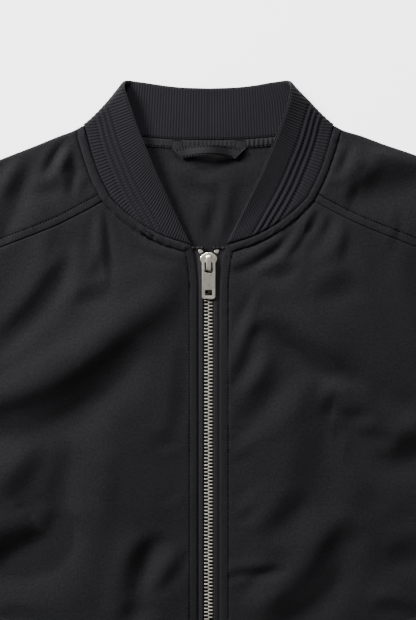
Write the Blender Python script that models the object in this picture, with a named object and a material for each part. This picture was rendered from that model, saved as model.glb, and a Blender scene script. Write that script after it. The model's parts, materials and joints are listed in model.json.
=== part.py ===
"""Bomber jacket with a rib collar, cuffs and hem and a metal zip, laid flat and closed.

The jacket lies on its back on a surface.  +X is the wearer's left, +Y points from the
hem to the collar and +Z is up.  Every size is in millimetres and is turned into metres
when a mesh is made.  Flat places are measured from the neck point line (y = 0 where the
shoulder meets the collar) and are moved by ORIGIN_Y, so that the origin lies under the
middle of the laid-out jacket.

Each cloth piece is a closed wall.  Its middle surface is a grid of points: the grid's
outline follows the cut of the piece, and its height comes from upper_layer or
lower_layer, which round the jacket over at its folded edges.  The wall's two faces are
those points moved out and in by half the cloth's thickness.
"""
import math
from collections import namedtuple

import bmesh
import bpy
import numpy as np

# ---- driving sizes, in millimetres ---------------------------------------------------
MM = 0.001
ORIGIN_Y = 317.94          # from the neck point line down to the middle of the jacket
CLOTH = 1.2                # wall of the woven cloth
SEAM_GAP = 0.3             # between two pieces at a seam
FOLD_RADIUS = 2.2          # of the middle surface, round the jacket's folded edges
LAY = 0.3                  # clearance under a piece that lies on a panel
TOPSTITCH = 7.6            # from a seam to the topstitching beside it
SEAM_RISE = 0.6            # how far a topstitched seam allowance stands up
FADE = 1.6                 # over which that allowance falls back to the panel

HEM_SEAM_Y = -618.0        # body to hem rib
HEM_END_Y = -680.0
CHEST_HALF = 280.0
HEM_SEAM_HALF = 272.0
SHOULDER_TIP = (235.0, -45.5)
UNDERARM = (CHEST_HALF, -268.0)
NECK_POINT = (112.5, 3.0)
YOKE_NECK = (88.7, -61.0)      # where the yoke seam meets the collar
YOKE_ARM = (213.0, -117.0)     # where it meets the armhole
ZIP_TOP = (15.6, -104.6)       # top corner of a front, beside the zip
FRONT_EDGE = 9.9               # half the opening between the fronts along the zip
BACK_NECK_DROP = 9.4

RIB_CLOTH = 2.4            # doubled rib of the cuffs and hem
RIB_RADIUS = 1.6
COLLAR_CLOTH = 2.8         # doubled rib of the collar
RIB_PITCH = 5.2            # one raised bar for every two ribs of the real knit
RIB_RISE = 0.55
RIB_SHARP = 12.0           # degrees between faces, above which a rib's edge is shown
HEM_RIB_HALF = (266.0, 262.0, 258.0)
HEM_RIB_OPENING = 11.0     # half of its opening at the zip
CUFF_LENGTH = 64.0
CUFF_HALF = (49.0, 47.5, 46.5)
SLEEVE_END_HALF = 56.0

COLORS = {
    "cloth": (0.021, 0.021, 0.024, 1.0),
    "rib": (0.019, 0.018, 0.022, 1.0),
    "tape": (0.024, 0.023, 0.026, 1.0),
    "metal": (0.56, 0.54, 0.49, 1.0),
}
FINISH = {"cloth": (0.85, 0.0), "rib": (0.92, 0.0), "tape": (0.8, 0.0), "metal": (0.32, 1.0)}

# ---- outlines of the left half, as points that a smooth curve runs through -----------
FRONT_NECK = [ZIP_TOP, (27.0, -101.0), (42.3, -95.6), (60.3, -85.8), (77.4, -72.6), YOKE_NECK]
SIDE_NECK = [YOKE_NECK, (98.6, -41.5), (105.9, -21.0), NECK_POINT]
BACK_NECK = [(0.0, -BACK_NECK_DROP), (30.0, -8.7), (60.0, -6.4), (90.0, -2.4), NECK_POINT]
SHOULDER = [NECK_POINT, (122.0, -1.9), (138.2, -6.8), (158.4, -14.9), (187.2, -26.1), SHOULDER_TIP]
YOKE_SEAM = [YOKE_NECK, (109.0, -73.0), (140.4, -88.2), (187.7, -107.0), YOKE_ARM]
ARM_LOWER = [YOKE_ARM, (214.0, -160.0), (230.0, -212.0), (255.0, -247.0), UNDERARM]
ARM_UPPER = [YOKE_ARM, (222.0, -78.0), SHOULDER_TIP]
SIDE = [UNDERARM, (279.0, -360.0), (276.5, -500.0), (HEM_SEAM_HALF, HEM_SEAM_Y)]
FRONT_LINE = [ZIP_TOP, (12.4, -116.0), (10.3, -136.0), (FRONT_EDGE, -170.0),
              (FRONT_EDGE, -400.0), (FRONT_EDGE, HEM_SEAM_Y)]

SLEEVE_ANGLE = math.radians(-55.0)
SLEEVE_ALONG = np.array([math.cos(SLEEVE_ANGLE), math.sin(SLEEVE_ANGLE)])
SLEEVE_IN = np.array([SLEEVE_ALONG[1], -SLEEVE_ALONG[0]])   # from the outer fold to the underarm
SLEEVE_ELBOW_START = np.array([386.0, -160.0])
CUFF_SEAM_OUTER = SLEEVE_ELBOW_START + 397.0 * SLEEVE_ALONG
CUFF_SEAM_INNER = CUFF_SEAM_OUTER + 2.0 * SLEEVE_END_HALF * SLEEVE_IN
SLEEVE_OUTER = [SHOULDER_TIP, (288.0, -69.0), (341.0, -108.0), tuple(SLEEVE_ELBOW_START),
                tuple(SLEEVE_ELBOW_START + 190.0 * SLEEVE_ALONG), tuple(CUFF_SEAM_OUTER)]
SLEEVE_UNDER = [UNDERARM, (345.0, -333.0), (430.0, -437.0), tuple(CUFF_SEAM_INNER)]

# ---- folds of the upper layer ----------------------------------------------------------
# Each row: start, middle and end of the fold's line, half its width, and its height
# (a ridge is positive, a trough negative).  +X is the wearer's left.
Fold = namedtuple("Fold", "start middle end half_width height")
FOLDS = [Fold(*row) for row in (
    # wearer's right front
    ((-30.0, -128.0), (-107.0, -172.0), (-196.0, -226.0), 24.0, 7.5),
    ((-24.0, -146.0), (-96.0, -222.0), (-215.0, -262.0), 15.0, -3.2),
    ((-124.0, -108.0), (-142.0, -146.0), (-198.0, -200.0), 13.0, -3.4),
    ((-88.0, -108.0), (-93.0, -138.0), (-118.0, -158.0), 11.0, -1.8),
    ((-130.0, -368.0), (-165.0, -362.0), (-215.0, -352.0), 18.0, -3.4),
    ((-120.0, -318.0), (-150.0, -322.0), (-210.0, -300.0), 20.0, 3.0),
    ((-40.0, -360.0), (-61.0, -380.0), (-66.0, -412.0), 12.0, -2.4),
    # wearer's left front
    ((20.0, -126.0), (52.0, -136.0), (76.0, -108.0), 12.0, -2.0),
    ((44.0, -170.0), (112.0, -206.0), (196.0, -292.0), 14.0, -3.4),
    ((60.0, -138.0), (126.0, -172.0), (205.0, -232.0), 22.0, 4.0),
    ((62.0, -226.0), (44.0, -250.0), (26.0, -272.0), 12.0, -1.8),
    ((128.0, -352.0), (98.0, -400.0), (56.0, -428.0), 14.0, -3.2),
    ((150.0, -330.0), (128.0, -404.0), (96.0, -448.0), 18.0, 3.0),
    # yokes
    ((-121.0, -14.0), (-127.0, -22.0), (-136.0, -36.0), 7.0, 2.0),
    ((-160.0, -40.0), (-178.0, -56.0), (-204.0, -86.0), 13.0, -2.0),
    ((124.0, -14.0), (130.0, -22.0), (139.0, -38.0), 7.0, 2.0),
    ((128.0, -64.0), (156.0, -50.0), (192.0, -44.0), 12.0, -2.0),
    # below the photo's frame
    ((-60.0, -470.0), (-130.0, -500.0), (-215.0, -486.0), 18.0, 3.5),
    ((-50.0, -520.0), (-120.0, -556.0), (-220.0, -560.0), 17.0, -3.0),
    ((56.0, -486.0), (120.0, -528.0), (216.0, -520.0), 18.0, 3.2),
    ((60.0, -560.0), (110.0, -584.0), (190.0, -578.0), 14.0, -2.6),
    # sleeves, wearer's left and right
    ((262.0, -130.0), (300.0, -190.0), (352.0, -222.0), 16.0, 4.2),
    ((300.0, -150.0), (350.0, -206.0), (410.0, -262.0), 15.0, -2.4),
    ((430.0, -290.0), (470.0, -330.0), (500.0, -400.0), 16.0, 4.0),
    ((470.0, -440.0), (520.0, -430.0), (556.0, -440.0), 14.0, 3.2),
    ((-258.0, -124.0), (-290.0, -196.0), (-344.0, -240.0), 16.0, 4.4),
    ((-306.0, -142.0), (-356.0, -196.0), (-402.0, -270.0), 15.0, -2.4),
    ((-420.0, -300.0), (-470.0, -336.0), (-520.0, -372.0), 16.0, 3.8),
    ((-480.0, -410.0), (-524.0, -440.0), (-548.0, -470.0), 14.0, 3.4),
)]
FOLD_END = 0.3             # share of a fold's length over which each of its ends fades
FOLD_LEFT = 0.25           # share of its height that it keeps at its very ends
TROUGH_SHARE = 0.45        # a trough that falls below the lying layer is this much shallower
LIFT = 3.6                 # how far the upper layer rises off the lower one between its edges
LIFT_REACH = 70.0          # over which it rises, from a folded edge
LIFT_CALM = 45.0           # and from a seam that holds it down
FOLD_CLEAR = (3.0, 22.0)   # folds start this far from a folded edge, and grow over this much
FOLD_CALM = (5.0, 16.0)    # the same beside the zip and the seams

# ---- the collar, front end to centre back, left half -----------------------------------
# Each row: which layer of the folded collar it is on, its seam point and its top point.
Section = namedtuple("Section", "layer seam top")
COLLAR_SECTIONS = [Section(*row) for row in (
    ("upper", (16.6, -104.3), (16.8, -101.6)),
    ("upper", (27.0, -100.8), (23.0, -89.3)),
    ("upper", (42.3, -95.4), (31.4, -72.2)),
    ("upper", (60.3, -85.6), (40.0, -54.4)),
    ("upper", (77.2, -72.4), (46.8, -39.8)),
    ("upper", (89.6, -58.8), (51.6, -28.6)),
    ("upper", (98.4, -41.3), (56.4, -16.6)),
    ("upper", (105.7, -20.9), (61.9, -3.4)),
    ("upper", (112.2, 0.4), (67.4, 12.0)),
    ("lower", (90.0, -2.0), (83.0, 46.4)),
    ("lower", (60.0, -6.0), (56.4, 40.0)),
    ("lower", (30.0, -8.3), (28.4, 37.6)),
    ("lower", (0.0, -9.0), (0.0, 36.9)),
)]
COLLAR_FOLD_SEAM = (111.2, 2.2)     # axis of the side fold, at the seam
COLLAR_FOLD_TOP = (70.4, 37.9)      # and at the collar's top edge
COLLAR_FOLD_RADII = (1.9, 6.4)      # of the middle surface, at those two ends
COLLAR_TOP_RISE = 2.0               # how far the upper layer's top edge stands up
COLLAR_RISE_REACH = (30.0, 60.0)    # that rise grows over these, from the side fold and the front end
COLLAR_RIDGES = (35.5, 30.0, 24.5)  # three knitted-in ridges, from the top edge
RIDGE_RISE = 0.8
RIDGE_STEP = 2.7
COLLAR_OUTER_ROWS = (11.0, 0.0)     # other rows of points, from the top edge
COLLAR_INNER_ROWS = (32.0, 16.0, 0.0)
CLOSED_UP = 0.6                     # spacing of the rows that close up beside the seam
COLLAR_GAP = 0.45                   # from the neck seam of the panels
RIBBED_TO_SEAM_X = 66.0             # ribs show on the outside down to here, and inside from here

# ---- zip and trims --------------------------------------------------------------------
TAPE_Z = (3.1, 4.1)
TAPE_HALF = (4.17, 19.0, 10.6)      # beside the chain, under the fronts, between the hem ends
TAPE_CORNER = 4.0                   # cut off each tape's top outer corner
TAPE_STEP_Y = HEM_SEAM_Y + 2.0      # where a tape narrows, to pass between the hem's ends
TAPE_TOP_Y = -105.4
CHAIN_HALF = 3.87
CHAIN_Z = (2.75, 4.75)
CHAIN_TOP_Y = -117.4
CHAIN_END_Y = -668.0
BOX_SIZE = (2 * CHAIN_HALF, 11.7, 2.1)
SLIDER_PLATES = ((1.5, 2.1), (5.1, 6.3))     # heights of the lower and the upper plate
# each row: y and half the slider's width there
SLIDER_OUTLINE = [(-111.2, 2.6), (-112.6, 4.8), (-114.2, 6.8), (-116.2, 7.75), (-118.4, 7.4),
                  (-121.0, 6.1), (-123.8, 5.1), (-125.6, 4.4)]
SLIDER_POST = (1.7, -114.6)         # radius and y of the post that joins the plates
JOIN = 0.2                          # depth to which united solids run into each other
BRIDGE_Y = (-113.0, -125.2)
BRIDGE_HALF = 2.3
BRIDGE_WALL = 1.2
BRIDGE_TOP_Z = 10.6
PULL_AXIS = (-119.2, 7.9)           # y and z of the bar that the pull turns on
PULL_SIZE = (12.0, 34.4, 1.5)
PULL_CORNER = 1.6
PULL_BAR = 0.85                     # from the axis to the pull's top edge
PULL_TILT = math.radians(3.4)
PULL_WINDOW = (7.6, 9.6)
PULL_SLOT = (7.4, 2.2, 28.2)        # width, height, and place below the axis
HOLE_CORNER = 0.3                   # corner radius of both, as a share of their shorter side
STOP_SIZE = (3.2, 3.6, 1.1)
STOP_PLACE = (7.5, -108.2, 4.95)
STOP_TURN = math.radians(22.0)
STOP_CORNER = 0.7

NECK_TAPE_WIDTH = 8.0
NECK_TAPE_HALF = 86.0
NECK_TAPE_WALL = 1.0
LOOP_HALF = (31.5, 25.5)            # of its upper and its lower edge
LOOP_EDGES_Y = (-17.6, -25.4)
LOOP_WALL = 1.2
LOOP_BOW = 1.6                      # its ends hang this much lower than its middle
LOOP_ARCH = 6.0                     # rise of its middle above its ends
LOOP_ARCH_HALF = 22.0
LOOP_END_X = 24.5
LOOP_TAB = (8.0, 7.4, 1.0)           # width, reach above the loop, and thickness of each end
LOOP_TAB_LAP = 5.0                  # how far an end runs down into the loop

WELT_LENGTH = 150.0
WELT_WIDTH = 24.0
WELT_WALL = 1.4
WELT_CORNER = (173.0, -442.0)       # inner top corner
WELT_LEAN = math.radians(16.0)
WELT_CLEAR = 0.5                    # over the front that it lies on


# ---- curves ----------------------------------------------------------------------------
def smooth_path(points, steps=24):
    """Catmull-Rom curve through the points, as a dense line."""
    pts = np.asarray(points, float)
    ends = np.vstack([2 * pts[0] - pts[1], pts, 2 * pts[-1] - pts[-2]])
    t = np.linspace(0.0, 1.0, steps, endpoint=False)[:, None]
    spans = []
    for a, b, c, d in zip(ends[:-3], ends[1:-2], ends[2:-1], ends[3:]):
        spans.append(0.5 * (2 * b + (c - a) * t + (2 * a - 5 * b + 4 * c - d) * t ** 2
                            + (3 * b - a - 3 * c + d) * t ** 3))
    return np.vstack(spans + [pts[-1:]])


def length_along(path):
    return np.concatenate([[0.0], np.cumsum(np.linalg.norm(np.diff(path, axis=0), axis=1))])


def at_lengths(path, lengths):
    """Points of a path at given lengths from its start; a negative one counts from its end."""
    along = length_along(path)
    wanted = np.asarray(lengths, float)
    wanted = np.where(np.signbit(wanted), along[-1] + wanted, wanted)
    return np.stack([np.interp(wanted, along, path[:, k]) for k in range(path.shape[1])], 1)


def evenly(path, count, start=(), end=()):
    """Points spread evenly along a path, with extra ones at set lengths from its two ends."""
    total = length_along(path)[-1]
    first = max(start, default=0.0)
    last = total - max(end, default=0.0)
    inner = np.linspace(first, last, count + 1)
    marks = np.concatenate([[0.0], start, inner, total - np.asarray(end, float), [total]])
    return at_lengths(path, np.unique(np.round(np.clip(marks, 0.0, total), 6)))


def smoothstep(value):
    value = np.clip(value, 0.0, 1.0)
    return value * value * (3.0 - 2.0 * value)


def nearest(points, path):
    """For each point: its distance to a path, the direction out to it, and where that is.

    Where it is runs from 0 at the path's start to 1 at its end.
    """
    start, span = path[:-1], np.diff(path, axis=0)
    square = (span ** 2).sum(1)
    rel = points[:, None, :] - start[None]
    share = np.clip((rel * span).sum(2) / square, 0.0, 1.0)
    foot = start + share[..., None] * span
    gap = np.linalg.norm(points[:, None, :] - foot, axis=2)
    best = gap.argmin(1)
    rows = np.arange(len(points))
    normal = np.stack([span[:, 1], -span[:, 0]], 1) / np.sqrt(square)[:, None]
    side = np.sign(((foot[rows, best] - points) * normal[best]).sum(1))
    side = np.where(side == 0.0, 1.0, side)
    return gap[rows, best], normal[best] * side[:, None], (best + share[rows, best]) / len(span)


# ---- heights of the two layers -----------------------------------------------------------
FOLDED_EDGES = [smooth_path(SHOULDER), smooth_path(SLEEVE_OUTER),
                smooth_path(SLEEVE_UNDER)[::-1], smooth_path(SIDE)]
CALM_LINES = [smooth_path(SIDE_NECK), smooth_path(FRONT_NECK)]
MIDDLE_Z = CLOTH / 2 + FOLD_RADIUS


def on_left(points):
    """The same places on the wearer's left, and the sign of x that brings them back."""
    sign = np.where(points[:, 0] < 0.0, -1.0, 1.0)
    return np.column_stack([points[:, 0] * sign, points[:, 1]]), sign


def from_folded_edge(points):
    """Distance to the nearest folded edge, and the direction out to it."""
    places, sign = on_left(points)
    found = [nearest(places, edge) for edge in FOLDED_EDGES]
    gaps = np.stack([gap for gap, _, _ in found])
    best = gaps.argmin(0)
    outward = np.stack([way for _, way, _ in found])[best, np.arange(len(points))]
    outward[:, 0] *= sign
    return gaps.min(0), outward


def fold_height(points):
    """Sum of the folds: each is a rounded bar along a curve, lower at its two ends."""
    total = np.zeros(len(points))
    t = np.linspace(0.0, 1.0, 13)
    bend = np.stack([(1.0 - t) ** 2, 2.0 * t * (1.0 - t), t ** 2], 1)
    for fold in FOLDS:
        gap, _, share = nearest(points, bend @ np.array([fold.start, fold.middle, fold.end]))
        taper = smoothstep(share / FOLD_END) * smoothstep((1.0 - share) / FOLD_END)
        taper = FOLD_LEFT + (1.0 - FOLD_LEFT) * taper
        total += fold.height * taper * np.exp(-(gap / fold.half_width) ** 2)
    return total


def from_seam(points):
    """Distance to the nearest seam that holds the upper layer down."""
    places, _ = on_left(points)
    seams = [nearest(places, line)[0] for line in CALM_LINES]
    seams += [places[:, 0] - FRONT_EDGE, np.abs(places[:, 1] - HEM_SEAM_Y)]
    cuff = np.abs((CUFF_SEAM_OUTER - places) @ SLEEVE_ALONG)
    seams.append(np.where(places[:, 0] > SLEEVE_ELBOW_START[0], cuff, np.inf))
    return np.min(seams, axis=0)


def relief(points):
    """How far the upper layer rises above its lowest height."""
    edge, _ = from_folded_edge(points)
    seam = from_seam(points)
    lift = LIFT * smoothstep(edge / LIFT_REACH) * smoothstep(seam / LIFT_CALM)
    clear = smoothstep((edge - FOLD_CLEAR[0]) / FOLD_CLEAR[1])
    calm = smoothstep((seam - FOLD_CALM[0]) / FOLD_CALM[1])
    height = lift + fold_height(points) * clear * calm
    return np.where(height < 0.0, height * TROUGH_SHARE, height)


def upper_layer(points):
    """Middle surface of the upper layer and its normal, for flat places (x, y)."""
    edge, outward = from_folded_edge(points)
    inset = np.clip((FOLD_RADIUS - edge) / FOLD_RADIUS, 0.0, 1.0)
    rise = np.sqrt(1.0 - inset ** 2)
    step = 0.5
    right = relief(points + [[step, 0.0]]) - relief(points - [[step, 0.0]])
    ahead = relief(points + [[0.0, step]]) - relief(points - [[0.0, step]])
    height = MIDDLE_Z + FOLD_RADIUS * rise + relief(points)
    normal = np.stack([-right / (2 * step), -ahead / (2 * step), np.ones(len(points))], 1)
    normal = normal * rise[:, None]
    normal[:, :2] += outward * inset[:, None]
    normal /= np.linalg.norm(normal, axis=1)[:, None]
    return np.column_stack([points, height]), normal


def lower_layer(points):
    """Middle surface of the lower layer, flat on the ground, and its downward normal."""
    edge, outward = from_folded_edge(points)
    inset = np.clip((FOLD_RADIUS - edge) / FOLD_RADIUS, 0.0, 1.0)
    rise = np.sqrt(1.0 - inset ** 2)
    height = MIDDLE_Z - FOLD_RADIUS * rise
    normal = np.column_stack([outward * inset[:, None], -rise])
    return np.column_stack([points, height]), normal


# ---- grids -----------------------------------------------------------------------------
def filled_grid(bottom, top, left, right):
    """Coons patch between four edges: rows run from bottom to top, columns left to right."""
    u = (length_along(bottom) / length_along(bottom)[-1] + length_along(top) / length_along(top)[-1]) / 2
    v = (length_along(left) / length_along(left)[-1] + length_along(right) / length_along(right)[-1]) / 2
    u, v = u[None, :, None], v[:, None, None]
    corners = ((1 - u) * (1 - v) * bottom[0] + u * (1 - v) * bottom[-1]
               + (1 - u) * v * top[0] + u * v * top[-1])
    return ((1 - v) * bottom[None] + v * top[None]
            + (1 - u) * left[:, None] + u * right[:, None] - corners)


def pulled_in(grid, gap=SEAM_GAP / 2):
    """Moves the four edges of a grid of places inwards by half a seam's gap."""
    inner = grid.copy()
    for moved, fixed in ((inner, grid), (inner.transpose(1, 0, 2), grid.transpose(1, 0, 2))):
        for edge, beside in ((0, 1), (-1, -2)):
            way = fixed[beside] - fixed[edge]
            moved[edge] += gap * way / np.linalg.norm(way, axis=-1)[:, None]
    return inner


# ---- meshes ----------------------------------------------------------------------------
def material(slot):
    found = bpy.data.materials.get(slot)
    if found:
        return found
    made = bpy.data.materials.new(slot)
    made.use_nodes = True
    shader = made.node_tree.nodes["Principled BSDF"]
    shader.inputs["Base Color"].default_value = COLORS[slot]
    shader.inputs["Roughness"].default_value = FINISH[slot][0]
    shader.inputs["Metallic"].default_value = FINISH[slot][1]
    made.diffuse_color = COLORS[slot]
    return made


def add_object(name, points, faces, slot, origin=(0.0, 0.0, 0.0)):
    """Makes a closed mesh of points in millimetres, with its faces turned outwards."""
    places = (np.asarray(points, float) + [0.0, ORIGIN_Y, 0.0]) * MM
    centre = (np.asarray(origin, float) + [0.0, ORIGIN_Y, 0.0]) * MM if any(origin) else np.zeros(3)
    mesh = bpy.data.meshes.new(name)
    mesh.from_pydata((places - centre).tolist(), [], [list(map(int, face)) for face in faces])
    work = bmesh.new()
    work.from_mesh(mesh)
    bmesh.ops.recalc_face_normals(work, faces=work.faces)
    if work.calc_volume(signed=True) < 0.0:
        bmesh.ops.reverse_faces(work, faces=work.faces)
    bmesh.ops.triangulate(work, faces=[face for face in work.faces if len(face.verts) == 4])
    work.to_mesh(mesh)
    work.free()
    mesh.shade_smooth()
    mesh.set_sharp_from_angle(angle=math.radians(RIB_SHARP if slot == "rib" else 40.0))
    mesh.materials.append(material(slot))
    item = bpy.data.objects.new(name, mesh)
    item.location = centre
    bpy.context.scene.collection.objects.link(item)
    return item


def laced(one, other, one_at, other_at):
    """Triangles between two lines of points that run the same way, by their positions."""
    faces, i, j = [], 0, 0
    while i < len(one) - 1 or j < len(other) - 1:
        if j == len(other) - 1 or (i < len(one) - 1 and one_at[i + 1] <= other_at[j + 1]):
            faces.append((one[i], one[i + 1], other[j]))
            i += 1
        else:
            faces.append((one[i], other[j + 1], other[j]))
            j += 1
    return faces


def wall(name, slot, outer, inner, outer_at=None, inner_at=None, ring=False):
    """Closed wall between an outer and an inner grid (rows, columns, 3).

    The two may have different columns, at the positions outer_at and inner_at along the
    rows.  A ring's last column joins its first.
    """
    outer_at = np.arange(outer.shape[1]) if outer_at is None else np.asarray(outer_at)
    inner_at = np.arange(inner.shape[1]) if inner_at is None else np.asarray(inner_at)
    ids_out = np.arange(outer.shape[0] * outer.shape[1]).reshape(outer.shape[:2])
    ids_in = ids_out.size + np.arange(inner.shape[0] * inner.shape[1]).reshape(inner.shape[:2])
    if ring:
        ids_out = np.hstack([ids_out, ids_out[:, :1]])
        ids_in = np.hstack([ids_in, ids_in[:, :1]])
        outer_at = np.append(outer_at, 1.0)
        inner_at = np.append(inner_at, 1.0)
    faces = []
    for ids, turned in ((ids_out, False), (ids_in, True)):
        quads = np.stack([ids[:-1, :-1], ids[:-1, 1:], ids[1:, 1:], ids[1:, :-1]], -1).reshape(-1, 4)
        faces += quads[:, ::-1].tolist() if turned else quads.tolist()
    for row, turned in ((0, True), (-1, False)):
        strip = laced(ids_out[row], ids_in[row], outer_at, inner_at)
        faces += [face[::-1] for face in strip] if turned else strip
    if not ring:
        for column, turned in ((0, False), (-1, True)):
            shares = [np.linspace(0.0, 1.0, len(ids)) for ids in (ids_out, ids_in)]
            strip = laced(ids_out[:, column], ids_in[:, column], *shares)
            faces += [face[::-1] for face in strip] if turned else strip
    points = np.vstack([outer.reshape(-1, 3), inner.reshape(-1, 3)])
    return add_object(name, points, faces, slot)


def cloth_panel(name, places, layer, rise=None):
    """A panel of woven cloth: a grid of flat places put on a layer and given its wall."""
    grid = pulled_in(places)
    flat = grid.reshape(-1, 2)
    middle, normal = layer(flat)
    edge, _ = from_folded_edge(places.reshape(-1, 2))
    middle[:, 2] += np.where(edge < 1e-6, np.sign(normal[:, 2] + 1e-9) * SEAM_GAP / 2, 0.0)
    shape = grid.shape[:2] + (3,)
    raised = 0.0 if rise is None else rise.reshape(-1, 1)
    outer = middle + normal * (CLOTH / 2 + raised)
    inner = middle - normal * CLOTH / 2
    return wall(name, "cloth", outer.reshape(shape), inner.reshape(shape))


def mirror_grid(grid):
    """The same grid on the wearer's right, with its columns turned round."""
    return grid[:, ::-1] * [-1.0, 1.0]


EDGE_STEPS = (0.3 * FOLD_RADIUS, FOLD_RADIUS)       # points that round a folded edge over
STRIP_STEPS = (TOPSTITCH, TOPSTITCH + FADE)         # points that bound a topstitched strip
NECK_FRONT_LINE = evenly(smooth_path(FRONT_NECK), 7, start=STRIP_STEPS)
YOKE_LINE = evenly(smooth_path(YOKE_SEAM), 5, start=STRIP_STEPS, end=EDGE_STEPS)
NECK_SIDE_LINE = evenly(smooth_path(SIDE_NECK), 5, start=STRIP_STEPS, end=EDGE_STEPS)
ARM_LOWER_LINE = evenly(smooth_path(ARM_LOWER[::-1]), 6, start=EDGE_STEPS, end=STRIP_STEPS)
SIDE_LINE = evenly(smooth_path(SIDE[::-1]), 11)


def matched(path, line, start=(), end=()):
    """Points of a path at the same shares of its length as a line of points has.

    Those next to its two ends can be at set lengths from them.
    """
    total = length_along(path)[-1]
    along = length_along(line) / length_along(line)[-1] * total
    along[1:1 + len(start)] = start
    along[len(along) - 1 - len(end):-1] = total - np.array(end[::-1])
    return at_lengths(path, along)


def front_places():
    """A front's grid of flat places, and how far each stands up beside its topstitched seams."""
    top = np.vstack([NECK_FRONT_LINE, YOKE_LINE[1:]])
    right = np.vstack([SIDE_LINE, ARM_LOWER_LINE[1:]])
    left = matched(smooth_path(FRONT_LINE[::-1]), right, end=STRIP_STEPS)
    hem = np.array([(FRONT_EDGE, HEM_SEAM_Y), (HEM_SEAM_HALF, HEM_SEAM_Y)])
    bottom = matched(hem, top, start=STRIP_STEPS, end=EDGE_STEPS)
    places = filled_grid(bottom, top, left, right)
    rise = np.zeros(places.shape[:2])
    rise[:, :2] = SEAM_RISE
    rise[-2:, :len(NECK_FRONT_LINE)] = SEAM_RISE
    return places, rise


def yoke_places():
    """The same for a shoulder yoke."""
    top = matched(smooth_path(SHOULDER), YOKE_LINE, end=EDGE_STEPS)
    right = matched(smooth_path(ARM_UPPER), NECK_SIDE_LINE, start=STRIP_STEPS, end=EDGE_STEPS)
    places = filled_grid(YOKE_LINE, top, NECK_SIDE_LINE, right)
    rise = np.zeros(places.shape[:2])
    rise[:2, :] = SEAM_RISE
    rise[:, :2] = SEAM_RISE
    rise[-3:] = 0.0
    return places, rise


def back_places():
    """The back's grid of flat places, and the points of its armhole."""
    neck = evenly(smooth_path(BACK_NECK), 6, end=EDGE_STEPS)
    shoulder = evenly(smooth_path(SHOULDER), 3, start=EDGE_STEPS, end=EDGE_STEPS)
    top = np.vstack([neck, shoulder[1:]])
    arm = evenly(smooth_path(ARM_LOWER[::-1] + ARM_UPPER[1:]), 6, start=EDGE_STEPS, end=EDGE_STEPS)
    right = np.vstack([evenly(smooth_path(SIDE[::-1]), 3), arm[1:]])
    left = matched(np.array([(0.0, HEM_SEAM_Y), (0.0, -BACK_NECK_DROP)]), right)
    hem = np.array([(0.0, HEM_SEAM_Y), (HEM_SEAM_HALF, HEM_SEAM_Y)])
    bottom = matched(hem, top, end=EDGE_STEPS)
    half = filled_grid(bottom, top, left, right)
    return np.concatenate([mirror_grid(half), half[:, 1:]], axis=1), arm


def sleeve(name, side, upper_arm, lower_arm):
    """A flattened tube from the armhole to the cuff.

    Its upper and its lower half are patches between the outer fold, the underarm fold,
    the armhole and the straight cuff seam, and they meet at the two folds.
    """
    outer_fold = evenly(smooth_path(SLEEVE_OUTER), 11)
    under_fold = matched(smooth_path(SLEEVE_UNDER), outer_fold)
    middles, normals = [], []
    for arm, layer in ((upper_arm, upper_layer), (lower_arm, lower_layer)):
        start = arm[::-1]
        cuff_seam = np.array([CUFF_SEAM_OUTER, CUFF_SEAM_INNER])
        finish = matched(cuff_seam, start, start=EDGE_STEPS, end=EDGE_STEPS)
        places = filled_grid(outer_fold, under_fold, start, finish)
        grid = places.copy()
        for edge, beside in ((0, 1), (-1, -2)):
            way = places[:, beside] - places[:, edge]
            grid[:, edge] += SEAM_GAP / 2 * way / np.linalg.norm(way, axis=-1)[..., None]
        flat = grid.reshape(-1, 2) * [side, 1.0]
        middle, normal = layer(flat)
        middles.append(middle.reshape(grid.shape[:2] + (3,)))
        normals.append(normal.reshape(grid.shape[:2] + (3,)))
    normals[0][[0, -1], :, 2] = 0.0
    middle = np.concatenate([middles[0], middles[1][-2:0:-1]], axis=0).transpose(1, 0, 2)
    normal = np.concatenate([normals[0], normals[1][-2:0:-1]], axis=0).transpose(1, 0, 2)
    normal /= np.linalg.norm(normal, axis=-1)[..., None]
    at = np.arange(middle.shape[1]) / middle.shape[1]
    wall(name, "cloth", middle + normal * CLOTH / 2, middle - normal * CLOTH / 2, at, at, ring=True)


# ---- rib bands -------------------------------------------------------------------------
def band_section(half, radius, floor, upper, lower, arc=(30.0, 60.0, 90.0, 120.0, 150.0)):
    """Cross-section of a flattened band: places across it, heights and normals.

    upper and lower are shares of the straight runs, from -1 to 1.  The section runs along
    the upper one, round the +X fold, back along the lower one and, on a closed band,
    round the -X fold.
    """
    straight = half - radius
    angles = np.radians(arc)
    places = [np.column_stack([np.asarray(upper) * straight, np.full(len(upper), 2 * radius)])]
    normals = [np.tile([0.0, 1.0], (len(upper), 1))]
    bend = np.column_stack([np.sin(angles), np.cos(angles)])
    places.append(bend * radius + [straight, radius])
    normals.append(bend)
    places.append(np.column_stack([np.asarray(lower) * straight, np.zeros(len(lower))]))
    normals.append(np.tile([0.0, -1.0], (len(lower), 1)))
    places.append(bend * [-radius, -radius] + [-straight, radius])
    normals.append(bend * [-1.0, -1.0])
    return np.vstack(places) + [0.0, floor], np.vstack(normals)


def rib_shares(half, start, stop):
    """Shares of a straight run with a point at each crest and each valley of the ribs."""
    count = 2 * int(round((stop - start) * half / RIB_PITCH))
    return np.linspace(start, stop, count + 1)


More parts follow.
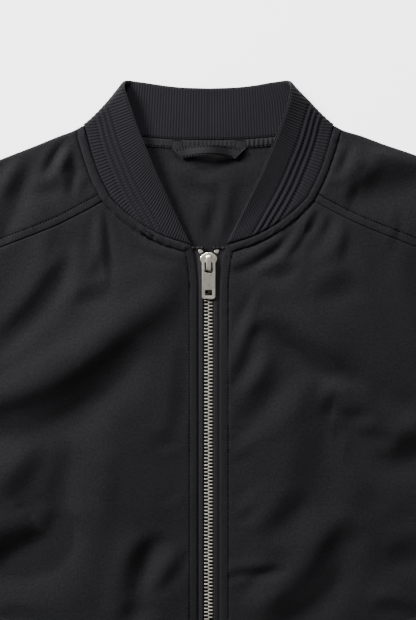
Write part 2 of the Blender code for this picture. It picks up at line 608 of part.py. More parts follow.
def band_grids(halves, upper_out, upper_in, lower_out, lower_in, place):
    """Outer and inner grid of a rib band, with its ribs raised on the upper run."""
    floor = RIB_CLOTH / 2
    outer, inner = [], []
    for row, half in enumerate(halves):
        flat, normal = band_section(half, RIB_RADIUS, floor, upper_out, lower_out)
        crest = np.zeros(len(flat))
        crest[:len(upper_out)][1::2] = RIB_RISE
        outer.append(place(row, flat + normal * (RIB_CLOTH / 2 + crest[:, None])))
        flat, normal = band_section(half, RIB_RADIUS, floor, upper_in, lower_in, arc=(45.0, 90.0, 135.0))
        inner.append(place(row, flat - normal * RIB_CLOTH / 2))
    return np.array(outer), np.array(inner)


def section_positions(half, upper, lower, arc):
    """Positions along a section, from 0 to 1, to lace its outer and inner columns by."""
    flat, _ = band_section(half, RIB_RADIUS, RIB_CLOTH / 2, upper, lower, arc)
    length = length_along(np.vstack([flat, flat[:1]]))
    return (length / length[-1])[:-1]


ARC_OUT, ARC_IN = (30.0, 60.0, 90.0, 120.0, 150.0), (45.0, 90.0, 135.0)


def cuff(name, side):
    upper_out = rib_shares(CUFF_HALF[0], -1.0, 1.0)
    upper_in = np.linspace(-1.0, 1.0, 5)
    lower_out = np.linspace(1.0, -1.0, 5)
    lower_in = np.linspace(1.0, -1.0, 4)
    middle = (CUFF_SEAM_OUTER + CUFF_SEAM_INNER) / 2

    def place(row, section):
        along = SEAM_GAP / 2 + row / (len(CUFF_HALF) - 1) * CUFF_LENGTH
        flat = middle + along * SLEEVE_ALONG - section[:, :1] * SLEEVE_IN
        return np.column_stack([flat * [side, 1.0], section[:, 1]])

    outer, inner = band_grids(CUFF_HALF, upper_out, upper_in, lower_out, lower_in, place)
    out_at = section_positions(CUFF_HALF[1], upper_out, lower_out, ARC_OUT)
    in_at = section_positions(CUFF_HALF[1], upper_in, lower_in, ARC_IN)
    wall(name, "rib", outer, inner, out_at, in_at, ring=True)


def hem_rib():
    """The hem band: open at the zip, so its upper run has two parts."""
    gap = HEM_RIB_OPENING / (HEM_RIB_HALF[1] - RIB_RADIUS)
    upper_out = rib_shares(HEM_RIB_HALF[1], gap, 1.0)
    upper_in = np.linspace(gap, 1.0, 10)
    lower_out = np.linspace(1.0, -1.0, 13)
    lower_in = np.linspace(1.0, -1.0, 10)
    floor = RIB_CLOTH / 2
    rows_out, rows_in, at = [], [], []
    ends = (HEM_SEAM_Y - SEAM_GAP, (HEM_SEAM_Y + HEM_END_Y) / 2, HEM_END_Y)
    for shares, lower, arc, sign, rows in ((upper_out, lower_out, ARC_OUT, 1.0, rows_out),
                                           (upper_in, lower_in, ARC_IN, -1.0, rows_in)):
        for half, y in zip(HEM_RIB_HALF, ends):
            flat, normal = band_section(half, RIB_RADIUS, floor, shares, lower, arc)
            crest = np.zeros(len(flat))
            if sign > 0.0:
                crest[:len(shares)][1::2] = RIB_RISE
            points = flat + sign * normal * (RIB_CLOTH / 2 + crest[:, None])
            mirrored = points[:len(shares)][::-1] * [-1.0, 1.0]
            points = np.vstack([points, mirrored])
            rows.append(np.column_stack([points[:, 0], np.full(len(points), y), points[:, 1]]))
        length = length_along(rows[1])
        at.append(length / length[-1])
    wall("hem_rib", "rib", np.array(rows_out), np.array(rows_in), *at)


# ---- the collar -----------------------------------------------------------------------
def collar_fold_frame():
    """Start of the side fold's axis, its direction, the direction out of it and its length."""
    start, end = np.array(COLLAR_FOLD_SEAM), np.array(COLLAR_FOLD_TOP)
    length = np.linalg.norm(end - start)
    along = (end - start) / length
    return start, along, np.array([along[1], -along[0]]), length


def fold_radius_at(share):
    """Radius of the side fold, which widens towards the top edge."""
    low, high = COLLAR_FOLD_RADII
    return low + (high - low) * np.clip(share, 0.0, 1.0) ** 1.5


def unfolded(point, layer):
    """A flat place of the collar, with its upper layer swung out round the side fold."""
    start, along, outward, length = collar_fold_frame()
    rel = np.asarray(point, float) - start
    if layer == "lower":
        return np.asarray(point, float)
    share = rel @ along
    reach = math.pi * fold_radius_at(share / length) - rel @ outward
    return start + share * along + reach * outward


def folded(points):
    """The opposite of unfolded: wraps flat places round the side fold, as a 3-D surface."""
    start, along, outward, length = collar_fold_frame()
    rel = points - start
    share, reach = rel @ along, rel @ outward
    radius = fold_radius_at(share / length)
    turn = np.clip(reach / radius, 0.0, math.pi)
    beyond = np.maximum(reach - math.pi * radius, 0.0)
    across = np.where(reach < 0.0, reach, radius * np.sin(turn) - beyond)
    height = COLLAR_CLOTH / 2 + radius * (1.0 - np.cos(turn))
    flat = start + share[:, None] * along + across[:, None] * outward
    return np.column_stack([flat, height])


def moved_left(path, distance):
    """A path moved to the left of its own direction."""
    way = np.gradient(path, axis=0)
    way /= np.linalg.norm(way, axis=1)[:, None]
    return path + distance * np.column_stack([-way[:, 1], way[:, 0]])


def collar_paths():
    """The collar's seam, unfolded, its top edge, and where each section meets the seam."""
    upper = np.vstack([smooth_path(FRONT_NECK), smooth_path(SIDE_NECK)[1:]])
    upper = np.array([unfolded(place, "upper") for place in moved_left(upper, COLLAR_GAP)])
    lower = moved_left(smooth_path(BACK_NECK)[::-1], -COLLAR_GAP)
    seam = np.vstack([upper, lower])
    length = length_along(seam)
    places = np.array([unfolded(section.seam, section.layer) for section in COLLAR_SECTIONS])
    knots = np.array([length[np.linalg.norm(seam - place, axis=1).argmin()] for place in places])
    knots[[0, -1]] = 0.0, length[-1]
    top = smooth_path([unfolded(section.top, section.layer) for section in COLLAR_SECTIONS])
    return seam, length, top, knots


COLLAR_SEAM_PATH, COLLAR_SEAM_LENGTHS, COLLAR_TOP_PATH, COLLAR_KNOTS = collar_paths()
COLLAR_LENGTH = COLLAR_SEAM_LENGTHS[-1]


def collar_edges(along):
    """Seam point and top point of the collar, unfolded, at lengths along its seam."""
    seam = np.stack([np.interp(along, COLLAR_SEAM_LENGTHS, COLLAR_SEAM_PATH[:, k]) for k in (0, 1)], -1)
    step = (len(COLLAR_TOP_PATH) - 1) / (len(COLLAR_KNOTS) - 1)
    number = np.interp(along, COLLAR_KNOTS, step * np.arange(len(COLLAR_KNOTS)))
    places = np.arange(len(COLLAR_TOP_PATH))
    top = np.stack([np.interp(number, places, COLLAR_TOP_PATH[:, k]) for k in (0, 1)], -1)
    return seam, top


def collar_points(along, share):
    """Middle surface of the collar: straight lines from its seam to its top, folded over."""
    seam, top = collar_edges(along)
    flat = seam + share[..., None] * (top - seam)
    shape = flat.shape[:-1]
    points = folded(flat.reshape(-1, 2))
    start, _, outward, _ = collar_fold_frame()
    over = smoothstep((flat.reshape(-1, 2) - start) @ outward / COLLAR_RISE_REACH[0])
    ends = smoothstep(along.reshape(-1) / COLLAR_RISE_REACH[1])
    points[:, 2] += COLLAR_TOP_RISE * over * ends * share.reshape(-1) ** 2
    return points.reshape(shape + (3,))


def collar_face(columns, side, marks, ribbed):
    """One face of the collar's left half, its rows at set distances from the top edge.

    side is +1 for the outer face and -1 for the inner one.  Rows that would fall past the
    seam, where the collar narrows, close up beside it.  Nothing is raised where a face looks
    down, so that the collar rests flat.
    """
    seam, top = collar_edges(columns)
    height = np.linalg.norm(top - seam, axis=1)
    rows, rises = [np.zeros(len(columns))], [np.zeros(len(columns))]
    for number, mark in enumerate(marks, 1):
        least = np.minimum(CLOSED_UP * number, height * number / len(marks))
        rows.append(np.maximum(height - mark, least))
        ridge = side > 0.0 and mark in COLLAR_RIDGES
        rises.append(np.where(ridge & (height - mark > 1.0), RIDGE_RISE, 0.0))
    share = np.array(rows) / height
    share[-1] = 1.0
    along = np.broadcast_to(columns, share.shape)
    middle = collar_points(along, share)
    step, part = 0.05, 0.002
    by_along = collar_points(along + step, share) - collar_points(along - step, share)
    by_share = collar_points(along, share + part) - collar_points(along, share - part)
    normal = np.cross(by_along, by_share)
    normal /= np.linalg.norm(normal, axis=-1)[..., None]
    ribs = np.zeros(len(columns))
    ribs[1:-1:2] = RIB_RISE
    ribs = np.where(ribbed, ribs, 0.0)
    faces_up = np.clip((normal[..., 2] * side + 0.9) / 0.6, 0.0, 1.0)
    rise = (COLLAR_CLOTH / 2 + (np.array(rises) + ribs) * faces_up) * side
    return middle + normal * rise[..., None]


def collar_columns(start, stop, count=None):
    """Lengths along the seam of columns that are evenly spread halfway up the collar.

    Without a count there is one at each crest and each valley of the ribs.
    """
    along = np.linspace(start, stop, 400)
    seam, top = collar_edges(along)
    halfway = length_along((seam + top) / 2)
    if count is None:
        count = 2 * int(halfway[-1] / RIB_PITCH)
    return np.interp(np.linspace(0.0, halfway[-1], count + 1), halfway, along)


def collar_rib():
    """The folded collar: ribs on the outside of its upper layer and the inside of its back."""
    turn = length_at_seam_x(RIBBED_TO_SEAM_X)
    outer_at = np.concatenate([collar_columns(0.0, turn), collar_columns(turn, COLLAR_LENGTH, 5)[1:]])
    ridge_rows = [COLLAR_RIDGES[0] + RIDGE_STEP]
    for ridge in COLLAR_RIDGES:
        ridge_rows += [ridge, ridge - RIDGE_STEP]
    outer = collar_face(outer_at, 1.0, ridge_rows + list(COLLAR_OUTER_ROWS), outer_at < turn)
    inner_at = np.concatenate([collar_columns(0.0, turn, 32), collar_columns(turn, COLLAR_LENGTH)[1:]])
    inner = collar_face(inner_at, -1.0, COLLAR_INNER_ROWS, inner_at > turn)
    whole = [np.concatenate([face, face[:, -2::-1] * [-1.0, 1.0, 1.0]], axis=1) for face in (outer, inner)]
    at = [np.concatenate([line, 2 * COLLAR_LENGTH - line[-2::-1]]) for line in (outer_at, inner_at)]
    wall("collar_rib", "rib", *whole, *at)


def length_at_seam_x(x):
    """Length along the collar's seam where its lower layer is at a given x."""
    late = COLLAR_SEAM_LENGTHS > 0.5 * COLLAR_LENGTH
    return float(np.interp(-x, -COLLAR_SEAM_PATH[late, 0], COLLAR_SEAM_LENGTHS[late]))


# ---- zip -------------------------------------------------------------------------------
def prism(name, slot, outline, low, high, origin=(0.0, 0.0, 0.0)):
    """A flat plate: an outline of places (x, y) between two heights."""
    count = len(outline)
    points = [(x, y, z) for z in (low, high) for x, y in outline]
    faces = [tuple(range(count))[::-1], tuple(range(count, 2 * count))]
    faces += [(k, (k + 1) % count, count + (k + 1) % count, count + k) for k in range(count)]
    return add_object(name, points, faces, slot, origin)


def rounded_rectangle(width, height, radius, steps=3):
    corners = []
    for quarter, (sx, sy) in enumerate(((1, 1), (-1, 1), (-1, -1), (1, -1))):
        for angle in np.radians(90.0 * quarter + np.linspace(0.0, 90.0, steps + 1)):
            corners.append((sx * (width / 2 - radius) + radius * math.cos(angle),
                            sy * (height / 2 - radius) + radius * math.sin(angle)))
    return corners


def combine(base, tool, operation):
    """Adds a tool to an object, or cuts it away, and deletes the tool."""
    change = base.modifiers.new(operation.lower(), "BOOLEAN")
    change.operation = operation
    change.solver = "EXACT"
    change.object = tool
    bpy.context.view_layer.update()
    evaluated = base.evaluated_get(bpy.context.evaluated_depsgraph_get())
    result = bpy.data.meshes.new_from_object(evaluated)
    base.modifiers.clear()
    base.data = result
    bpy.data.objects.remove(tool)


def zip_tapes():
    near, wide, narrow = TAPE_HALF
    for name, side in (("zip_tape_left", 1.0), ("zip_tape_right", -1.0)):
        outline = [(near, TAPE_TOP_Y), (near, HEM_END_Y), (narrow, HEM_END_Y), (narrow, TAPE_STEP_Y),
                   (wide, TAPE_STEP_Y), (wide, TAPE_TOP_Y - TAPE_CORNER), (wide - TAPE_CORNER, TAPE_TOP_Y)]
        prism(name, "tape", [(side * x, y) for x, y in outline], *TAPE_Z)


def zip_chain():
    outline = [(-CHAIN_HALF, CHAIN_END_Y), (CHAIN_HALF, CHAIN_END_Y), (CHAIN_HALF, CHAIN_TOP_Y),
               (-CHAIN_HALF, CHAIN_TOP_Y)]
    prism("zip_chain", "metal", outline, *CHAIN_Z)
    width, length, thick = BOX_SIZE
    middle = sum(CHAIN_Z) / 2
    outline = [(-width / 2, HEM_END_Y), (width / 2, HEM_END_Y), (width / 2, HEM_END_Y + length),
               (-width / 2, HEM_END_Y + length)]
    prism("zip_box", "metal", outline, middle - thick / 2, middle + thick / 2)


def zip_slider():
    right = [(half, y) for y, half in SLIDER_OUTLINE]
    outline = right[::-1] + [(-x, y) for x, y in right]
    (low_a, low_b), (high_a, high_b) = SLIDER_PLATES
    slider = prism("zip_slider", "metal", outline, high_a, high_b)
    radius, post_y = SLIDER_POST
    turns = np.linspace(0.0, 2.0 * math.pi, 12, endpoint=False)
    post = [(radius * math.cos(turn), post_y + radius * math.sin(turn)) for turn in turns]
    combine(slider, prism("post", "metal", post, low_b - JOIN, high_a + JOIN), "UNION")
    combine(slider, prism("lower_plate", "metal", outline, low_a, low_b), "UNION")
    start, end = BRIDGE_Y
    block = [(-BRIDGE_HALF, end), (BRIDGE_HALF, end), (BRIDGE_HALF, start), (-BRIDGE_HALF, start)]
    bridge = prism("bridge", "metal", block, high_b - JOIN, BRIDGE_TOP_Z)
    reach = 2 * BRIDGE_HALF
    gap = [(-reach, end + BRIDGE_WALL), (reach, end + BRIDGE_WALL), (reach, start - BRIDGE_WALL),
           (-reach, start - BRIDGE_WALL)]
    combine(bridge, prism("bridge_gap", "metal", gap, high_a, BRIDGE_TOP_Z - BRIDGE_WALL), "DIFFERENCE")
    combine(slider, bridge, "UNION")


def zip_pull():
    """The pull tab, its origin on the bar that it turns on, tilted to rest on the chain."""
    width, length, thick = PULL_SIZE
    axis_y, axis_z = PULL_AXIS
    centre_y = PULL_BAR - length / 2
    outline = [(x, y + centre_y + axis_y) for x, y in rounded_rectangle(width, length, PULL_CORNER)]
    origin = (0.0, axis_y, axis_z)
    pull = prism("zip_pull", "metal", outline, axis_z - thick / 2, axis_z + thick / 2, origin)
    window_w, window_h = PULL_WINDOW
    for wide, high, below in ((window_w, window_h, PULL_BAR + window_h / 2), PULL_SLOT):
        corner = HOLE_CORNER * min(wide, high)
        hole = [(x, y + axis_y - below) for x, y in rounded_rectangle(wide, high, corner)]
        combine(pull, prism("hole", "metal", hole, axis_z - thick, axis_z + thick, origin), "DIFFERENCE")
    pull.rotation_euler.x = PULL_TILT


def zip_stops():
    width, length, thick = STOP_SIZE
    for name, side in (("zip_stop_left", 1.0), ("zip_stop_right", -1.0)):
        x0, y0, z0 = STOP_PLACE
        turn = -side * STOP_TURN
        outline = [(side * x0 + x * math.cos(turn) - y * math.sin(turn),
                    y0 + x * math.sin(turn) + y * math.cos(turn))
                   for x, y in rounded_rectangle(width, length, STOP_CORNER, 2)]
        prism(name, "metal", outline, z0 - thick / 2, z0 + thick / 2)


# ---- trims ------------------------------------------------------------------------------
def neck_tape():
    """A tape along the back neck seam, on the inside of the back."""
    x = np.linspace(-NECK_TAPE_HALF, NECK_TAPE_HALF, 17)
    seam = smooth_path(BACK_NECK)
    upper = np.interp(np.abs(x), seam[:, 0], seam[:, 1]) - 2 * SEAM_GAP
    low = CLOTH + LAY
    places = np.array([np.column_stack([x, upper - NECK_TAPE_WIDTH]), np.column_stack([x, upper])])
    grids = [np.dstack([places, np.full(places.shape[:2], z)]) for z in (low + NECK_TAPE_WALL, low)]
    wall("neck_tape", "tape", *grids)


def hanger_loop():
    """A strip arched off the back, its two ends turned up over the neck tape."""
    share = np.linspace(-1.0, 1.0, 17)
    seat = CLOTH + 2 * LAY + NECK_TAPE_WALL
    edges = np.array([np.column_stack([share * half, y - LOOP_BOW * share ** 2])
                      for half, y in zip(LOOP_HALF[::-1], LOOP_EDGES_Y[::-1])])
    inside = np.clip(1.0 - (edges[..., :1] / LOOP_ARCH_HALF) ** 2, 0.0, 1.0)
    low = np.concatenate([edges, seat + LOOP_ARCH * inside ** 2], axis=2)
    loop = wall("hanger_loop", "tape", low + [0.0, 0.0, LOOP_WALL], low)
    width, height, thick = LOOP_TAB
    start, end = LOOP_EDGES_Y[0] - LOOP_TAB_LAP, LOOP_EDGES_Y[0] + height
    for side in (-1.0, 1.0):
        x0 = side * LOOP_END_X
        corners = [(x0 - width / 2, start), (x0 + width / 2, start), (x0 + width / 2, end),
                   (x0 - width / 2, end)]
        middle = seat + LOOP_WALL / 2
        tab = prism("tab", "tape", corners, middle - thick / 2, middle + thick / 2)
        combine(loop, tab, "UNION")


def pocket_welt(name, side, front):
    """A welt that lies on the front: the panel's own points there, moved out."""
    along = np.array([math.sin(WELT_LEAN), -math.cos(WELT_LEAN)])
    across = np.array([math.cos(WELT_LEAN), math.sin(WELT_LEAN)])
    u = np.linspace(0.0, WELT_WIDTH, 3)
    v = np.linspace(WELT_LENGTH, 0.0, 13)
    places = np.array(WELT_CORNER) + v[:, None, None] * along + u[None, :, None] * across
    points = []
    for x, y in (places.reshape(-1, 2) * [side, 1.0]):
        start = (x * MM, (y + ORIGIN_Y) * MM, 0.1)
        _, hit, _, _ = front.ray_cast(start, (0.0, 0.0, -1.0))
        points.append((x, y, hit.z / MM + WELT_CLEAR))
    low = np.array(points).reshape(places.shape[:2] + (3,))
    wall(name, "cloth", low + [0.0, 0.0, WELT_WALL], low)


# ---- the whole jacket --------------------------------------------------------------------
def build():
    for item in list(bpy.data.objects):
        bpy.data.objects.remove(item, do_unlink=True)
    back, back_arm = back_places()
    cloth_panel("back", back, lower_layer)
    front, front_rise = front_places()
    yoke, yoke_rise = yoke_places()
    upper_arm = np.vstack([ARM_LOWER_LINE, yoke[1:, -1]])
    for label, side in (("left", 1.0), ("right", -1.0)):
        shown = front if side > 0 else mirror_grid(front)
        rise = front_rise if side > 0 else front_rise[:, ::-1]
        panel = cloth_panel("front_" + label, shown, upper_layer, rise)
        shown = yoke if side > 0 else mirror_grid(yoke)
        rise = yoke_rise if side > 0 else yoke_rise[:, ::-1]
        cloth_panel("yoke_" + label, shown, upper_layer, rise)
        sleeve("sleeve_" + label, side, upper_arm, back_arm)
        cuff("cuff_" + label, side)
        pocket_welt("pocket_welt_" + label, side, panel)
    hem_rib()
    collar_rib()
    neck_tape()
    hanger_loop()
    zip_tapes()
    zip_chain()
    zip_slider()
    zip_pull()
    zip_stops()


build()
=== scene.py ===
"""Looks of a bomber jacket laid flat: woven cloth, rib knit, topstitching and a metal zip.

Lengths are in millimetres until a mesh is made.  A flat place is (x, y): +X is the wearer's
left and y is measured up from the line of the neck points, as on the jacket's pattern.
Heights are z above the ground.  Every cloth surface is a grid of flat places and a height
worked out for the whole grid at once; its two faces lie half the cloth's thickness off it.
"""
import json
import math
from collections import namedtuple

import bpy
import numpy as np
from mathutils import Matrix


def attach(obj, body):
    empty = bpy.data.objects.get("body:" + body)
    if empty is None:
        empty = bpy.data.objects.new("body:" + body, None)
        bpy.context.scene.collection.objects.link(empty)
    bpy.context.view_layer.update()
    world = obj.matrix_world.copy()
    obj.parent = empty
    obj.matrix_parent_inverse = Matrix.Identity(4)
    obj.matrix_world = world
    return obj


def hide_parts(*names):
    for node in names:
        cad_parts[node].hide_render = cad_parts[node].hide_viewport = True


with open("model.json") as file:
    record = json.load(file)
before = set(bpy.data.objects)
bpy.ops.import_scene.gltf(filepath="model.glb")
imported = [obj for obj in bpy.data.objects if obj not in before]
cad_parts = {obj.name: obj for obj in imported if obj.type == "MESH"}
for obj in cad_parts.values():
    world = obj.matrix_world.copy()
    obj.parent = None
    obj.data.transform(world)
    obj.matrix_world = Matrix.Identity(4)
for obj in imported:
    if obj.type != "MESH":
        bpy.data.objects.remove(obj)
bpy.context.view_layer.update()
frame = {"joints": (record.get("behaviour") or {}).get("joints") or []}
MM = 0.001

# ---- the pattern: driving sizes --------------------
CLOTH = 1.2                # thickness of the woven cloth
SEAM_GAP = 0.3             # between the solids at a seam
FOLD_RADIUS = 2.2          # of the cloth's middle round a folded edge
MIDDLE_Z = CLOTH / 2 + FOLD_RADIUS
LAY = 0.3                  # between one layer and what lies on it
TOPSTITCH = 7.6            # from a seam to the topstitching beside it
HEM_SEAM_Y = -618.0
HEM_END_Y = -680.0
CHEST_HALF = 280.0
HEM_SEAM_HALF = 272.0
SHOULDER_TIP = (235.0, -45.5)
UNDERARM = (CHEST_HALF, -268.0)
NECK_POINT = (112.5, 3.0)
YOKE_NECK = (88.7, -61.0)
YOKE_ARM = (213.0, -117.0)
ZIP_TOP = (15.6, -104.6)
FRONT_EDGE = 9.9
BACK_NECK_DROP = 9.4
PULL_AXIS = (-119.2, 7.9)  # y and z of the bar that the pull tab turns on
ORIGIN_Y = frame["joints"][0]["pos_m"][1] / MM - PULL_AXIS[0]
SIDES = (("left", 1.0), ("right", -1.0))

RIB_CLOTH = 2.4            # thickness of the cuffs' and the hem's knit
RIB_RADIUS = 1.6           # of its middle round a folded edge
COLLAR_CLOTH = 2.8
RIB_PITCH = 2.5
RIB_RISE = 0.66
RIB_ROUND = 0.75           # under 1, a rib's crest is broader than the valley beside it
HEM_RIB_HALF = (266.0, 262.0, 258.0)
HEM_RIB_OPENING = 11.0
CUFF_LENGTH = 64.0
CUFF_HALF = (49.0, 47.5, 46.5)
SLEEVE_END_HALF = 56.0

FRONT_NECK = [ZIP_TOP, (27.0, -101.0), (42.3, -95.6), (60.3, -85.8), (77.4, -72.6), YOKE_NECK]
SIDE_NECK = [YOKE_NECK, (98.6, -41.5), (105.9, -21.0), NECK_POINT]
BACK_NECK = [(0.0, -BACK_NECK_DROP), (30.0, -8.7), (60.0, -6.4), (90.0, -2.4), NECK_POINT]
SHOULDER = [NECK_POINT, (122.0, -1.9), (138.2, -6.8), (158.4, -14.9), (187.2, -26.1), SHOULDER_TIP]
YOKE_SEAM = [YOKE_NECK, (109.0, -73.0), (140.4, -88.2), (187.7, -107.0), YOKE_ARM]
ARM_LOWER = [YOKE_ARM, (214.0, -160.0), (230.0, -212.0), (255.0, -247.0), UNDERARM]
ARM_UPPER = [YOKE_ARM, (222.0, -78.0), SHOULDER_TIP]
SIDE = [UNDERARM, (279.0, -360.0), (276.5, -500.0), (HEM_SEAM_HALF, HEM_SEAM_Y)]
FRONT_LINE = [ZIP_TOP, (12.4, -116.0), (10.3, -136.0), (FRONT_EDGE, -170.0),
              (FRONT_EDGE, -400.0), (FRONT_EDGE, HEM_SEAM_Y)]
SLEEVE_ANGLE = math.radians(-55.0)
SLEEVE_ALONG = np.array([math.cos(SLEEVE_ANGLE), math.sin(SLEEVE_ANGLE)])
SLEEVE_IN = np.array([SLEEVE_ALONG[1], -SLEEVE_ALONG[0]])
SLEEVE_ELBOW_START = np.array([386.0, -160.0])
CUFF_SEAM_OUTER = SLEEVE_ELBOW_START + 397.0 * SLEEVE_ALONG
CUFF_SEAM_INNER = CUFF_SEAM_OUTER + 2.0 * SLEEVE_END_HALF * SLEEVE_IN
SLEEVE_OUTER = [SHOULDER_TIP, (288.0, -69.0), (341.0, -108.0), tuple(SLEEVE_ELBOW_START),
                tuple(SLEEVE_ELBOW_START + 190.0 * SLEEVE_ALONG), tuple(CUFF_SEAM_OUTER)]
SLEEVE_UNDER = [UNDERARM, (345.0, -333.0), (430.0, -437.0), tuple(CUFF_SEAM_INNER)]

# ---- folds --------------------
Fold = namedtuple("Fold", "start middle end half_width height")
FOLDS = [Fold(*row) for row in (
    ((-25.0, -134.0), (-99.0, -182.0), (-193.0, -238.0), 23.0, 7.3),
    ((-24.0, -146.0), (-96.0, -222.0), (-215.0, -262.0), 15.0, -3.2),
    ((-124.0, -108.0), (-142.0, -146.0), (-198.0, -200.0), 13.0, -3.4),
    ((-88.0, -108.0), (-93.0, -138.0), (-118.0, -158.0), 11.0, -1.8),
    ((-130.0, -368.0), (-165.0, -362.0), (-215.0, -352.0), 18.0, -3.4),
    ((-120.0, -318.0), (-150.0, -322.0), (-210.0, -300.0), 20.0, 0.8),
    ((-40.0, -360.0), (-61.0, -380.0), (-66.0, -412.0), 12.0, -2.4),
    ((20.0, -126.0), (52.0, -136.0), (76.0, -108.0), 12.0, -2.0),
    ((44.0, -170.0), (112.0, -206.0), (196.0, -292.0), 14.0, -3.4),
    ((60.0, -138.0), (118.0, -186.0), (202.0, -258.0), 22.0, 4.0),
    ((62.0, -226.0), (44.0, -250.0), (26.0, -272.0), 12.0, -1.8),
    ((128.0, -352.0), (98.0, -400.0), (56.0, -428.0), 14.0, -3.2),
    ((150.0, -330.0), (128.0, -404.0), (96.0, -448.0), 18.0, 1.6),
    ((-121.0, -14.0), (-127.0, -22.0), (-136.0, -36.0), 7.0, 2.0),
    ((-160.0, -40.0), (-178.0, -56.0), (-204.0, -86.0), 13.0, -2.0),
    ((124.0, -14.0), (130.0, -22.0), (139.0, -38.0), 7.0, 2.0),
    ((128.0, -64.0), (156.0, -50.0), (192.0, -44.0), 12.0, -2.0),
    ((-60.0, -470.0), (-130.0, -500.0), (-215.0, -486.0), 18.0, 3.5),
    ((-50.0, -520.0), (-120.0, -556.0), (-220.0, -560.0), 17.0, -3.0),
    ((56.0, -486.0), (120.0, -528.0), (216.0, -520.0), 18.0, 3.2),
    ((60.0, -560.0), (110.0, -584.0), (190.0, -578.0), 14.0, -2.6),
    ((262.0, -130.0), (300.0, -190.0), (352.0, -222.0), 16.0, 4.2),
    ((300.0, -150.0), (350.0, -206.0), (410.0, -262.0), 15.0, -2.4),
    ((430.0, -290.0), (470.0, -330.0), (500.0, -400.0), 16.0, 4.0),
    ((470.0, -440.0), (520.0, -430.0), (556.0, -440.0), 14.0, 3.2),
    ((-258.0, -124.0), (-290.0, -196.0), (-344.0, -240.0), 16.0, 4.4),
    ((-306.0, -142.0), (-356.0, -196.0), (-402.0, -270.0), 15.0, -2.4),
    ((-420.0, -300.0), (-470.0, -336.0), (-520.0, -372.0), 16.0, 3.8),
    ((-480.0, -410.0), (-524.0, -440.0), (-548.0, -470.0), 14.0, 3.4),
)]
FOLD_END = 0.3             # share of a fold's length over which it rises at each end
FOLD_LEFT = 0.25           # share of its height that is left at its very ends
TROUGH_SHARE = 0.45        # a layer that would dip does so by this share
LIFT = 3.6                 # how far the upper layer puffs up
LIFT_REACH = 70.0          # over this far from a folded edge
LIFT_CALM = 45.0           # and this far from a seam
FOLD_CLEAR = (3.0, 22.0)   # folds start this far from a folded edge and grow over this
FOLD_CALM = (5.0, 16.0)    # and the same from a seam

